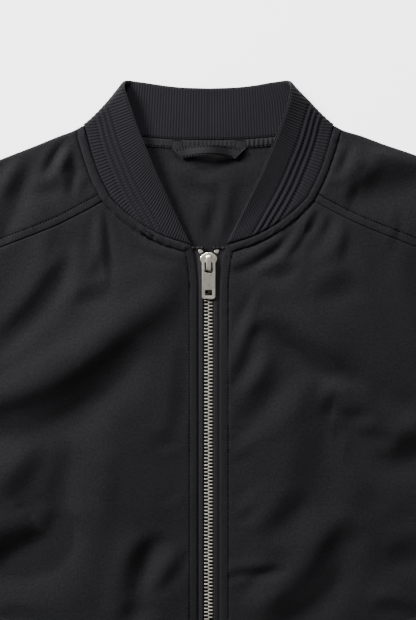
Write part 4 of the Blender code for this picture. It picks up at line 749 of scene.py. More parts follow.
def wall(name, outer, inner, uv, ring=False):
    """Closed wall between two grids of the same size; a ring's last column joins its first."""
    rows, columns = outer.shape[:2]
    ids = np.arange(rows * columns).reshape(rows, columns)
    if ring:
        ids = np.hstack([ids, ids[:, :1]])
    back = ids + rows * columns
    quads = [np.stack([g[:-1, :-1], g[:-1, 1:], g[1:, 1:], g[1:, :-1]], -1).reshape(-1, 4)
             for g in (ids, back)]
    quads[1] = quads[1][:, ::-1]
    edges = [(ids[0], back[0], True), (ids[-1], back[-1], False)]
    if not ring:
        edges += [(ids[:, 0], back[:, 0], False), (ids[:, -1], back[:, -1], True)]
    for one, other, turned in edges:
        strip = np.stack([one[:-1], other[:-1], other[1:], one[1:]], -1)
        quads.append(strip[:, ::-1] if turned else strip)
    points = np.vstack([outer.reshape(-1, 3), inner.reshape(-1, 3)])
    flat_uv = np.vstack([uv.reshape(-1, 2)] * 2)
    return mesh_piece(name, points, np.vstack(quads), flat_uv)


def tubes(name, rings, smooth=True):
    """Closed solids with an even number of sides: rings is (items, rings, sides, 3)."""
    items, count, sides = rings.shape[:3]
    ids = np.arange(count * sides).reshape(count, sides)
    turned = np.roll(ids, -1, axis=1)
    quads = [np.stack([ids[:-1], turned[:-1], turned[1:], ids[1:]], -1).reshape(-1, 4)]
    for k in range(sides // 2 - 1):
        cap = np.array([k, k + 1, sides - 2 - k, sides - 1 - k])
        quads += [ids[0][cap[::-1]][None], ids[-1][cap][None]]
    quads = np.vstack(quads)
    every = (quads[None] + (np.arange(items) * count * sides)[:, None, None]).reshape(-1, 4)
    return mesh_piece(name, rings.reshape(-1, 3), every, smooth=smooth)


# ---- materials --------------------
class Value:
    """A number over a surface: a socket whose sums are made as Math nodes."""

    def __init__(self, looks, socket):
        self.looks = looks
        self.socket = socket

    def by(self, operation, *others):
        """The value of one Math node, with this value first."""
        inputs = dict(enumerate((self,) + others))
        return self.looks.node("Math", {"operation": operation}, inputs)

    def __add__(self, other):
        return self.by("ADD", other)

    def __mul__(self, other):
        return self.by("MULTIPLY", other)

    def __sub__(self, other):
        return self.by("SUBTRACT", other)

    def __rsub__(self, other):
        return self.looks.node("Math", {"operation": "SUBTRACT"}, {0: other, 1: self})

    def __truediv__(self, other):
        return self.by("DIVIDE", other)

    __radd__ = __add__
    __rmul__ = __mul__

    def sine(self):
        return self.by("SINE")

    def fraction(self):
        return self.by("FRACT")

    def size(self):
        return self.by("ABSOLUTE")

    def between(self, low, high):
        """0 at low, 1 at high, and a smooth rise from one to the other."""
        inputs = {"Value": self, "From Min": low, "From Max": high}
        return self.looks.node("MapRange", {"interpolation_type": "SMOOTHSTEP"}, inputs)


class Looks:
    """A material: one shader, and the nodes that feed it."""

    def __init__(self, name, **constants):
        self.material = bpy.data.materials.new(name)
        self.material.use_nodes = True
        self.tree = self.material.node_tree
        self.shader = self.tree.nodes["Principled BSDF"]
        for socket, value in constants.items():
            self.shader.inputs[socket.replace("_", " ")].default_value = value

    def node(self, kind, settings=None, inputs=None, output=0):
        """A node of a kind, its settings first, then the values or links of its sockets."""
        made = self.tree.nodes.new("ShaderNode" + kind)
        for key, value in (settings or {}).items():
            setattr(made, key, value)
        for key, value in (inputs or {}).items():
            if isinstance(value, Value):
                self.tree.links.new(value.socket, made.inputs[key])
            else:
                made.inputs[key].default_value = value
        return Value(self, made.outputs[output])

    def axes(self, source="cut"):
        """A place on the piece's own cut, or in the object, and its three coordinates."""
        if source == "cut":
            vector = self.node("UVMap", {"uv_map": "cut"})
        else:
            vector = self.node("TexCoord", output="Object")
        parts = self.node("SeparateXYZ", None, {0: vector}).socket.node.outputs
        return [vector] + [Value(self, part) for part in parts]

    def noise(self, vector, per_metre, detail=2.0, rough=0.5):
        """Soft random values from 0 to 1, so many to the metre."""
        inputs = {"Vector": vector, "Scale": per_metre, "Detail": detail, "Roughness": rough}
        return self.node("TexNoise", None, inputs)

    def mixed(self, share, one, other):
        """A colour between two: share 0 gives the first."""
        return self.node("Mix", {"data_type": "RGBA"}, {0: share, 6: one, 7: other}, 2)

    def dyed(self, tone, dye):
        """Feeds the base colour: tone 0 gives a dye's deepest colour and 1 its palest."""
        self.feed("Base Color", self.mixed(tone, *dye))

    def feed(self, socket, value):
        """Links a value to one of the shader's sockets."""
        self.tree.links.new(value.socket, self.shader.inputs[socket])

    def bumped(self, height, depth, strength):
        """Relief of a depth in millimetres, shown in part or in full."""
        inputs = {"Height": height, "Distance": depth * MM, "Strength": strength}
        self.feed("Normal", self.node("Bump", None, inputs))


def grey(value, red=1.0, green=1.0, blue=1.0):
    """A colour of one value in its three parts, each by a factor of its own."""
    return (value * red, value * green, value * blue, 1.0)


# Dyes: the deepest and the palest colour that a cloth's fibres show; the rib's and the thread's ranges
# also carry painted shade.
CLOTH_DYE = (grey(0.0020, 1.0, 0.975, 1.15), grey(0.0119, 1.0, 0.975, 1.14))
RIB_DYE_AND_SHADE = (grey(0.0035, 1.0, 0.96, 1.22), grey(0.0135, 1.0, 0.96, 1.2))
TAPE_DYE = (grey(0.0025, 1.0, 0.975, 1.15), grey(0.0165, 1.0, 0.975, 1.14))
THREAD_DYE_AND_SHADE = (grey(0.0004, 1.0, 0.98, 1.06), grey(0.0010, 1.0, 0.98, 1.06))
TURN = 2 * math.pi
# Pitches of threads and stitches, in metres as the coordinates are.
TWILL_PITCH = 0.00095
WEFT_PITCH = 0.0007
KNIT_PITCH = 0.0016
HERRINGBONE = 0.0042
TAPE_THREAD = 0.0017
TWIST_PITCH = 0.0004
TWILL_SLANT = 0.62         # of its ribs: v is added to u by this share
BRUSHING = (9000.0, 500.0, 9000.0)      # noise to the metre along each axis of the metal
PAINTED_SHADE_EDGE = 0.5            # over which a box of painted shade fades, in millimetres
# the dark grey that painted shade mixes the metal towards
PAINTED_SHADE_COLOUR = grey(0.035)


def cloth_looks():
    """Brushed twill: fine slanted ribs, a nap of short fibres and a slightly uneven dye."""
    looks = Looks("brushed_twill", Sheen_Weight=0.06, Sheen_Roughness=0.5,
                  Sheen_Tint=(0.75, 0.76, 0.8, 1.0), Specular_IOR_Level=0.12)
    vector, u, v, _ = looks.axes()
    sway = looks.noise(vector, per_metre=260.0) * 0.9
    twill = ((u + v * TWILL_SLANT) * (TURN / TWILL_PITCH) + sway * 3.0).sine()
    weft = (v * (TURN / WEFT_PITCH) + sway * 2.0).sine()
    nap = looks.noise(vector, per_metre=900.0, rough=0.6)
    tufts = looks.noise(vector, per_metre=430.0, detail=3.0, rough=0.6)
    uneven = looks.noise(vector, per_metre=22.0, detail=4.0, rough=0.6)
    tone = nap * 1.6 + tufts + twill * 0.2 + weft * 0.08 + uneven * 0.4
    looks.dyed(tone.between(1.05, 2.0), CLOTH_DYE)
    looks.feed("Roughness", 0.8 + nap * 0.14)
    looks.bumped(twill * 0.12 + weft * 0.05 + nap * 0.6 + tufts, depth=0.6, strength=0.6)
    return looks.material


def rib_looks():
    """Rib knit: stitches are chevrons along each rib; painted shade makes it deepest in the valleys
    between them, and painted light makes it palest on the crests.
    """
    looks = Looks("rib_knit", Sheen_Weight=0.06, Sheen_Roughness=0.5,
                  Sheen_Tint=(0.75, 0.74, 0.8, 1.0), Specular_IOR_Level=0.12)
    vector, u, v, _ = looks.axes()
    across = ((u / (RIB_PITCH * MM)).fraction() - 0.5).size()
    stitch = ((v / KNIT_PITCH + across * 1.5) * TURN).sine()
    fuzz = looks.noise(vector, per_metre=1500.0, detail=3.0, rough=0.6)
    uneven = looks.noise(vector, per_metre=22.0)
    crest = 1.0 - across * 2.0
    # The crest term is painted light and shade: each rib is paler on its crest and darker in the valleys
    # beside it.
    tone = crest * 0.45 + fuzz * 0.7 + stitch * 0.16 + uneven * 0.15
    looks.dyed(tone.between(0.2, 1.2), RIB_DYE_AND_SHADE)
    looks.feed("Roughness", 0.82 + fuzz * 0.12)
    looks.bumped(stitch * 0.35 * crest + fuzz * 0.5, depth=0.28, strength=0.7)
    return looks.material


def tape_looks():
    """Herringbone tape: slanted threads that change direction every 2 mm."""
    looks = Looks("woven_tape", Sheen_Weight=0.05, Sheen_Roughness=0.4, Specular_IOR_Level=0.15)
    vector, u, v, _ = looks.axes("object")
    zigzag = ((u / HERRINGBONE).fraction() - 0.5).size() * HERRINGBONE
    threads = ((zigzag + v) * (TURN / TAPE_THREAD)).sine()
    fuzz = looks.noise(vector, per_metre=1000.0)
    looks.dyed((threads * 0.22 + fuzz * 0.9).between(0.1, 0.9), TAPE_DYE)
    looks.feed("Roughness", 0.68 + fuzz * 0.15)
    looks.bumped(threads * 0.5 + fuzz * 0.4, depth=0.15, strength=0.6)
    return looks.material


def thread_looks():
    """Sewing thread: a tight twist with a low gloss, black and dyed darker still than the cloth, partly as
    painted shade of the holes the stitches sink into.
    """
    looks = Looks("sewing_thread", Specular_IOR_Level=0.02)
    vector, u, v, _ = looks.axes("object")
    twist = ((u + v) * (TURN / TWIST_PITCH)).sine()
    fuzz = looks.noise(vector, per_metre=1200.0)
    looks.dyed(fuzz, THREAD_DYE_AND_SHADE)
    looks.feed("Roughness", 0.8 + twist * 0.05 + fuzz * 0.1)
    looks.bumped(twist, depth=0.05, strength=0.5)
    return looks.material


def metal_looks(name, base, rough, worn, shaded_boxes=()):
    """Plated metal: faint brushing along its length, and smudges that dull it unevenly.

    In each shaded box, given by its middle and half sizes, the metal's colour is painted dark: painted
    shade in hollows that the light does not reach.
    """
    looks = Looks(name, Metallic=1.0)
    vector, *axes = looks.axes("object")
    smudge = looks.noise(vector, per_metre=240.0, detail=3.0, rough=0.6)
    stretched = looks.node("Mapping", None, {"Vector": vector, "Scale": BRUSHING})
    brushing = looks.noise(stretched, per_metre=1.0)
    tone = (smudge * 0.7 + brushing * 0.3).between(0.25, 0.75)
    dull = tuple(worn * part for part in base) + (1.0,)
    colour = looks.mixed(tone, dull, base + (1.0,))
    # Painted shade: inside each box the metal's colour is mixed towards a dark grey.
    for middle, half in shaded_boxes:
        dark = 1.0
        for axis, at, reach in zip(axes, middle, half):
            dark = (axis - at * MM).size().between(reach * MM, (reach - PAINTED_SHADE_EDGE) * MM) * dark
        colour = looks.mixed(dark, colour, PAINTED_SHADE_COLOUR)
    looks.feed("Base Color", colour)
    looks.feed("Roughness", rough + smudge * 0.16 + brushing * 0.06)
    looks.bumped(brushing * 0.6 + smudge * 0.4, depth=0.02, strength=0.4)
    return looks.material


CLOTH_LOOKS = cloth_looks()
RIB_LOOKS = rib_looks()
TAPE_LOOKS = tape_looks()
THREAD_LOOKS = thread_looks()
NICKEL = (0.92, 0.87, 0.76)
NICKEL_FINISH = (0.2, 0.82)             # its roughness, and what wear leaves of its colour
TEETH_METAL = (0.42, 0.395, 0.35)
TEETH_FINISH = (0.26, 0.65)
# Painted shade, each box by its middle and half sizes: under the bridge, where the pull tab shades the
# slider's plate, and in the well round the pull's slot.
SLIDER_PAINTED_SHADE = ((0.0, ORIGIN_Y - 122.4, 5.4), (3.7, 4.0, 1.7))
PULL_SHADED_WELL = ((0.0, ORIGIN_Y - 147.3, 6.4), (3.5, 2.7, 3.0))
NICKEL_LOOKS = metal_looks("warm_nickel", NICKEL, *NICKEL_FINISH)
SLIDER_LOOKS = metal_looks("slider_nickel_painted_shade", NICKEL, *NICKEL_FINISH, [SLIDER_PAINTED_SHADE])
PULL_LOOKS = metal_looks("pull_nickel_painted_shade", NICKEL, *NICKEL_FINISH, [PULL_SHADED_WELL])
TEETH_LOOKS = metal_looks("nickel_teeth", TEETH_METAL, *TEETH_FINISH)


def finished(piece, looks, body="jacket", nodes=()):
    """Gives a piece its material, its body and the nodes it stands for."""
    piece.data.materials.clear()
    piece.data.materials.append(looks)
    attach(piece, body)
    if nodes:
        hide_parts(*nodes)
    return piece


def narrow(length, width):
    """Works out the box of a narrow tape's cut, at least 10 mm each way, and leaves it unused.
    States the cut of a narrow tape: its own area, in a box at least 10 mm each way.
    """
    size = (max(length, 10.0) * MM, max(width, 10.0) * MM)


def declared(outline):
    """Works out the box of a sheet's flat outline and the area inside it, and leaves them unused."""
    x, y = np.asarray(outline, float).T * MM
    area = abs((x * np.roll(y, -1) - y * np.roll(x, -1)).sum()) / 2
    size = (float(np.ptp(x)), float(np.ptp(y)))


# ---- cloth panels --------------------
FRONT_SPACING = 3.1
YOKE_SPACING = 2.6
SLEEVE_SPACING = 4.2
BACK_SPACING = 5.0
UNDER_RIB = 0.55           # the back and the sleeves reach this much further towards the ribs
# A sleeve's cloth, cut open along its under edge and laid out.
SLEEVE_CUT = [(-185.0, 0.0), (-112.0, 620.0), (112.0, 620.0), (185.0, 0.0), (60.0, -95.0), (-60.0, -95.0)]


def rounded_rim(places, seams):
    """Half thickness of a panel's outer face: a quarter circle down to each of its seams."""
    flat = on_left(places.reshape(-1, 2))[0]
    gap = np.min([nearest(flat, seam)[0] for seam in seams], axis=0)
    rise = CLOTH / 2 * (2.0 * quarter_round(gap, EDGE_ROLL) - 1.0)
    return rise.reshape(places.shape[:2])[..., None]


def front_places():
    """A front between its zip edge, hem, side and arm seam, and the neck and yoke seams."""
    neck = spread(smooth_path(FRONT_NECK), FRONT_SPACING, start=SEAM_STEPS)
    yoke = spread(smooth_path(YOKE_SEAM), FRONT_SPACING, start=SEAM_STEPS, end=PLAIN_STEPS)
    side = spread(smooth_path(SIDE)[::-1], FRONT_SPACING, start=PLAIN_STEPS)
    arm = spread(smooth_path(ARM_LOWER)[::-1], FRONT_SPACING, start=EDGE_STEPS, end=SEAM_STEPS)
    top, right = np.vstack([neck, yoke[1:]]), np.vstack([side, arm[1:]])
    left = matched(smooth_path(FRONT_LINE)[::-1], right, start=PLAIN_STEPS, end=SEAM_STEPS)
    hem = np.array([(FRONT_EDGE, HEM_SEAM_Y), (HEM_SEAM_HALF, HEM_SEAM_Y)])
    bottom = matched(hem, top, start=SEAM_STEPS, end=EDGE_STEPS)
    return filled_grid(bottom, top, left, right)


def yoke_places():
    """A yoke between its lower seam, the neck, the shoulder fold and the arm seam."""
    bottom = spread(smooth_path(YOKE_SEAM), YOKE_SPACING, start=SEAM_STEPS, end=PLAIN_STEPS)
    left = spread(smooth_path(SIDE_NECK), YOKE_SPACING, start=SEAM_STEPS, end=EDGE_STEPS)
    top = matched(smooth_path(SHOULDER), bottom, start=SEAM_STEPS, end=PLAIN_STEPS)
    right = matched(smooth_path(ARM_UPPER), left, start=SEAM_STEPS, end=EDGE_STEPS)
    return filled_grid(bottom, top, left, right)


def back_places():
    """The back: one half between the middle, hem, side, arm and neck, and its mirror image."""
    top = np.vstack([spread(smooth_path(BACK_NECK), BACK_SPACING),
                     spread(smooth_path(SHOULDER), BACK_SPACING, end=PLAIN_STEPS)[1:]])
    right = np.vstack([spread(smooth_path(SIDE)[::-1], BACK_SPACING, start=PLAIN_STEPS),
                       spread(ARM_LINE, BACK_SPACING, end=EDGE_STEPS)[1:]])
    left = matched(np.array([(0.0, HEM_SEAM_Y), (0.0, -BACK_NECK_DROP)]), right, end=EDGE_STEPS)
    hem = np.array([(0.0, HEM_SEAM_Y), (HEM_SEAM_HALF, HEM_SEAM_Y)])
    bottom = matched(hem, top, end=EDGE_STEPS)
    half = filled_grid(bottom, top, left, right)
    return np.concatenate([mirror_grid(half), half[:, 1:]], axis=1)


def back_inside(points):
    """Soft wrinkles of the back's inner face in the neck opening, none under the neck tape."""
    x, y = points.T
    waves = 1.2 + 1.45 * crease_height(points, BACK_CREASES) + 0.3 * soft_noise(points, 21.0, 8)
    window = grown(-y, 27.0, 9.0) * grown(y, -122.0, 22.0) * smoothstep((95.0 - np.abs(x)) / 30.0)
    return np.maximum(waves, 0.0) * window


def cloth_panels():
    """Fronts, yokes and back: each is a wall half the cloth's thickness off its middle surface."""
    shapes = (("front", front_places(), front_relief, [FRONT_SEAMS, YOKE_ROLL, ARM_LINE]),
              ("yoke", yoke_places(), yoke_relief, [YOKE_ROLL, NECK_LINES[0], ARM_LINE]))
    for part, places, height_of, seams in shapes:
        for label, side in SIDES:
            grid = places if side > 0 else mirror_grid(places)
            middle, normal = upper_layer(pulled_in(grid), height_of)
            outer = middle + normal * rounded_rim(grid, seams)
            node = part + "_" + label
            piece = wall(node + "_cloth", outer, middle - normal * CLOTH / 2, grid)
            finished(piece, CLOTH_LOOKS, nodes=(node,))
            declared(outline_of(places))
    grid = back_places()
    places = pulled_in(grid)
    places[-1, np.abs(grid[-1, :, 0]) < NECK_POINT[0] - 4.0, 1] += UNDER_RIB
    places[0, :, 1] -= UNDER_RIB
    middle, normal = lower_layer(places)
    inner = middle - normal * CLOTH / 2
    inner[..., 2] += back_inside(grid.reshape(-1, 2)).reshape(grid.shape[:2])
    piece = wall("back_cloth", middle + normal * CLOTH / 2, inner, grid)
    finished(piece, CLOTH_LOOKS, nodes=("back",))
    declared(outline_of(grid))


def sleeves():
    """Each sleeve is a flattened tube: an upper and a lower patch that meet at its two folds."""
    outer_fold = spread(smooth_path(SLEEVE_OUTER), SLEEVE_SPACING, start=PLAIN_STEPS, end=PLAIN_STEPS)
    under_fold = matched(smooth_path(SLEEVE_UNDER), outer_fold, start=PLAIN_STEPS, end=PLAIN_STEPS)
    start = spread(ARM_LINE[::-1], SLEEVE_SPACING, start=EDGE_STEPS, end=EDGE_STEPS)
    cuff_end = np.array([CUFF_SEAM_OUTER, CUFF_SEAM_INNER])
    finish = matched(cuff_end, start, start=EDGE_STEPS, end=EDGE_STEPS)
    places = filled_grid(outer_fold, under_fold, start, finish)
    for edge, beside_it, inwards in ((0, 1, SEAM_GAP / 2), (-1, -2, SEAM_GAP / 2 - UNDER_RIB)):
        way = places[:, beside_it] - places[:, edge]
        places[:, edge] += inwards * way / np.linalg.norm(way, axis=-1)[..., None]
    cuff_seam = cuff_end + [-20.0 * SLEEVE_IN, 20.0 * SLEEVE_IN]

    def round_sleeve(upper, lower):
        return np.concatenate([upper, lower[-2:0:-1]], axis=0).transpose(1, 0, 2)

    for label, side in SIDES:
        grid = places * [side, 1.0]
        middles, normals = zip(upper_layer(grid, sleeve_relief), lower_layer(grid))
        normals[0][[0, -1], :, 2] = 0.0
        middle = round_sleeve(*middles)
        normal = round_sleeve(*normals)
        normal = normal / np.linalg.norm(normal, axis=-1, keepdims=True)
        flat = round_sleeve(places, places)
        outer = middle + normal * rounded_rim(flat * [side, 1.0], [ARM_LINE, cuff_seam])
        from_elbow = flat - SLEEVE_ELBOW_START
        uv = np.dstack([from_elbow @ SLEEVE_IN * side, from_elbow @ SLEEVE_ALONG])
        node = "sleeve_" + label
        piece = wall(node + "_cloth", outer, middle - normal * CLOTH / 2, uv, ring=True)
        finished(piece, CLOTH_LOOKS, nodes=(node,))
        declared(SLEEVE_CUT)


# ---- rib knit --------------------
def ribs(length):
    """Height of the ribs along a band, 0 to 1: the sine's size to a power, over each pitch."""
    return np.abs(np.sin(np.pi * length / RIB_PITCH)) ** RIB_ROUND


def band_round(half):
    """Length once round a flattened band of a half width."""
    return 4 * (half - RIB_RADIUS) + 2 * math.pi * RIB_RADIUS


def flattened(length, half, radius, start):
    """Cross-section of a flattened band, by length round it from the middle of its top.

    It runs along the upper run, round the +X fold, back along the lower run and round the
    other fold.  Gives its points and their normals, each across it and up.
    """
    straight, bend = half - radius, math.pi * radius
    total = 4 * straight + 2 * bend
    s = np.mod(length + start, total)
    run = s - straight
    turn = np.clip(run / radius, 0.0, math.pi)
    lower = np.clip(run - bend, 0.0, 2 * straight)
    back_turn = np.clip((run - bend - 2 * straight) / radius, 0.0, math.pi)
    end = np.maximum(run - 2 * bend - 2 * straight, 0.0)
    angle = turn + back_turn
    x = np.minimum(s, straight) - lower + end
    x = x + radius * np.sin(turn) - radius * np.sin(back_turn)
    z = radius * (1.0 + np.cos(angle))
    return np.stack([x, z], -1), np.stack([np.sin(angle), np.cos(angle)], -1)


BAND_STEP = RIB_PITCH / 6
BAND_ROWS = 14
BAND_LIP = 0.07            # share of half a band's height in which its edge rounds off
BAND_LIP_DEPTH = 0.9
BAND_WAVE = 0.0875         # height of the waves along it


def band(name, node, halves, length, columns, place, ring, start=0.0):
    """A rib band: its section at each row, with the ribs raised where its face looks up."""
    outer, inner, uv = [], [], []
    for share in np.linspace(0.0, 1.0, BAND_ROWS):
        half = np.interp(share, (0.0, 0.5, 1.0), halves)
        fit = band_round(half) / band_round(halves[1])
        flat, normal = flattened(columns * fit, half, RIB_RADIUS, start)
        flat = flat + [0.0, RIB_CLOTH / 2]
        up = np.clip((normal[:, 1] + 0.9) / 0.6, 0.0, 1.0)
        wave = BAND_WAVE * np.sin(columns / 19.0 + 2.0 * share) * np.sin(math.pi * share)
        lip = max(0.0, abs(2 * share - 1) - 1.0 + BAND_LIP) / BAND_LIP
        edge = BAND_LIP_DEPTH * (1.0 - np.sqrt(1.0 - 0.999 * lip ** 2))
        rise = (RIB_RISE * ribs(columns) + wave - edge) * up
        outer.append(place(share, flat + normal * (RIB_CLOTH / 2 + rise)[:, None]))
        inner.append(place(share, flat - normal * RIB_CLOTH / 2))
        uv.append(np.column_stack([columns, np.full(len(columns), share * length)]))
    piece = wall(name, np.array(outer), np.array(inner), np.array(uv), ring=ring)
    finished(piece, RIB_LOOKS, nodes=(node,))
    return piece


def cuffs():
    """Each cuff: a flattened ring of rib that carries the sleeve's line on."""
    total = band_round(CUFF_HALF[1])
    columns = np.linspace(0.0, total, 6 * int(total / RIB_PITCH), endpoint=False)
    middle = (CUFF_SEAM_OUTER + CUFF_SEAM_INNER) / 2
    for label, side in SIDES:
        def place(share, section):
            along = SEAM_GAP / 2 + share * CUFF_LENGTH
            flat = middle + along * SLEEVE_ALONG - section[:, :1] * SLEEVE_IN
            return np.column_stack([flat * [side, 1.0], section[:, 1]])

        node = "cuff_" + label
        piece = band(node + "_knit", node, CUFF_HALF, CUFF_LENGTH, columns, place, True)


def hem_band():
    """The hem's band: a flattened ring of rib that is open at the zip."""
    length = band_round(HEM_RIB_HALF[1]) - 2 * HEM_RIB_OPENING
    columns = np.linspace(0.0, length, int(length / BAND_STEP) + 1)
    top = HEM_SEAM_Y - SEAM_GAP
    height = top - HEM_END_Y

    def place(share, section):
        return np.column_stack([section[:, 0], np.full(len(section), top - share * height), section[:, 1]])

    piece = band("hem_knit", "hem_rib", HEM_RIB_HALF, height, columns, place, False, HEM_RIB_OPENING)


# ---- collar --------------------
Section = namedtuple("Section", "layer seam top")
COLLAR_SECTIONS = [Section(*row) for row in (
    ("upper", (16.6, -104.3), (16.8, -101.6)),
    ("upper", (27.0, -100.8), (23.0, -89.3)),
    ("upper", (42.3, -95.4), (31.4, -72.2)),
    ("upper", (60.3, -85.6), (40.0, -54.4)),
    ("upper", (77.2, -72.4), (46.8, -39.8)),
    ("upper", (89.6, -58.8), (51.6, -28.6)),
    ("upper", (98.4, -41.3), (56.4, -16.6)),
    ("upper", (105.7, -20.9), (61.9, -3.4)),
    ("upper", (112.2, 0.4), (67.4, 12.0)),
    ("lower", (90.0, -2.0), (83.0, 46.4)),
    ("lower", (60.0, -6.0), (56.6, 42.0)),
    ("lower", (30.0, -8.3), (28.4, 38.2)),
    ("lower", (0.0, -9.0), (0.0, 37.0)),
)]
COLLAR_FOLD_SEAM = (111.2, 2.2)
COLLAR_FOLD_TOP = (70.4, 37.9)
COLLAR_FOLD_RADII = (1.9, 6.4)
COLLAR_FOLD_BEND = 1.6     # the fold's outline bends in this much, a third of the way up
COLLAR_TOP_RISE = 2.0      # how far the upper layer's top edge stands up
COLLAR_RISE_REACH = (30.0, 60.0)
COLLAR_RIDGES = (35.5, 30.0, 24.5)      # how far each knitted ridge lies from the top edge
RIDGE_RISE = 1.1
RIDGE_HALF = 1.2
RIDGE_GROOVE = 0.65
COLLAR_LIPS = ((1.4, 0.9), (0.7, 0.5))  # width and depth of the rounding: top edge, seam
COLLAR_GAP = 0.45
COLLAR_ROWS = 50
COLLAR_STEP = RIB_PITCH / 5
COLLAR_NUDGE = (0.05, 0.002)            # along the band and up it, to find its slopes


def collar_fold_frame():
    """The collar's side fold: its lower end, its direction, the way out of it and its length."""
    start, end = np.array(COLLAR_FOLD_SEAM), np.array(COLLAR_FOLD_TOP)
    length = np.linalg.norm(end - start)
    along = (end - start) / length
    return start, along, np.array([along[1], -along[0]]), length


def fold_radius_at(share):
    """The fold's radius grows from its lower end as the share to the power 1.5."""
    low, high = COLLAR_FOLD_RADII
    return low + (high - low) * np.clip(share, 0.0, 1.0) ** 1.5


def unfolded(point, layer):
    """A flat place of the collar, with its upper layer swung out round the side fold."""
    start, along, outward, length = collar_fold_frame()
    rel = np.asarray(point, float) - start
    if layer == "lower":
        return np.asarray(point, float)
    share = rel @ along
    reach = math.pi * fold_radius_at(share / length) - rel @ outward
    return start + share * along + reach * outward


def folded(points):
    """The opposite of unfolded: flat, then a half circle, then back over itself."""
    start, along, outward, length = collar_fold_frame()
    rel = points - start
    share, reach = rel @ along, rel @ outward
    radius = fold_radius_at(share / length)
    turn = np.clip(reach / radius, 0.0, math.pi)
    beyond = np.maximum(reach - math.pi * radius, 0.0)
    across = np.where(reach < 0.0, reach, radius * np.sin(turn) - beyond)
    bend = np.sin(math.pi * (0.02 + 0.98 * np.clip(share / length, 0.0, 1.0)) ** 0.55)
    across = across - COLLAR_FOLD_BEND * bend * np.exp(-(np.minimum(across, 0.0) / 16.0) ** 2)
    flat = start + share[:, None] * along + across[:, None] * outward
    return np.column_stack([flat, COLLAR_CLOTH / 2 + radius * (1.0 - np.cos(turn))])


def collar_paths():
    """The unfolded collar's seam, the lengths along it, its top edge, and its sections' lengths."""
    upper = np.vstack([smooth_path(FRONT_NECK, 24), smooth_path(SIDE_NECK, 24)[1:]])
    upper = np.array([unfolded(place, "upper") for place in moved_left(upper, COLLAR_GAP)])
    lower = moved_left(smooth_path(BACK_NECK, 24)[::-1], -COLLAR_GAP)
    seam = np.vstack([upper, lower])
    length = length_along(seam)
    places = np.array([unfolded(section.seam, section.layer) for section in COLLAR_SECTIONS])
    knots = np.array([length[np.linalg.norm(seam - place, axis=1).argmin()] for place in places])
    knots[[0, -1]] = 0.0, length[-1]
    top = smooth_path([unfolded(section.top, section.layer) for section in COLLAR_SECTIONS], 24)
    return seam, length, top, knots


COLLAR_SEAM_PATH, COLLAR_SEAM_LENGTHS, COLLAR_TOP_PATH, COLLAR_KNOTS = collar_paths()
COLLAR_LENGTH = COLLAR_SEAM_LENGTHS[-1]


def collar_edges(along):
    """Seam point and top point of the collar, unfolded, at lengths along its seam."""
    seam = np.stack([np.interp(along, COLLAR_SEAM_LENGTHS, COLLAR_SEAM_PATH[:, k]) for k in (0, 1)], -1)
    step = (len(COLLAR_TOP_PATH) - 1) / (len(COLLAR_KNOTS) - 1)
    number = np.interp(along, COLLAR_KNOTS, step * np.arange(len(COLLAR_KNOTS)))
    places = np.arange(len(COLLAR_TOP_PATH))
    top = np.stack([np.interp(number, places, COLLAR_TOP_PATH[:, k]) for k in (0, 1)], -1)
    return seam, top


def collar_middle(along, share):
    """Middle surface of the collar: straight lines from its seam to its top, folded over."""
    seam, top = collar_edges(along)
    flat = seam + share[..., None] * (top - seam)
    shape = flat.shape[:-1]
    points = folded(flat.reshape(-1, 2))
    start, _, outward, _ = collar_fold_frame()
    over = smoothstep((flat.reshape(-1, 2) - start) @ outward / COLLAR_RISE_REACH[0])
    ends = smoothstep(along.reshape(-1) / COLLAR_RISE_REACH[1])
    points[:, 2] += COLLAR_TOP_RISE * over * ends * share.reshape(-1) ** 2
    return points.reshape(shape + (3,))


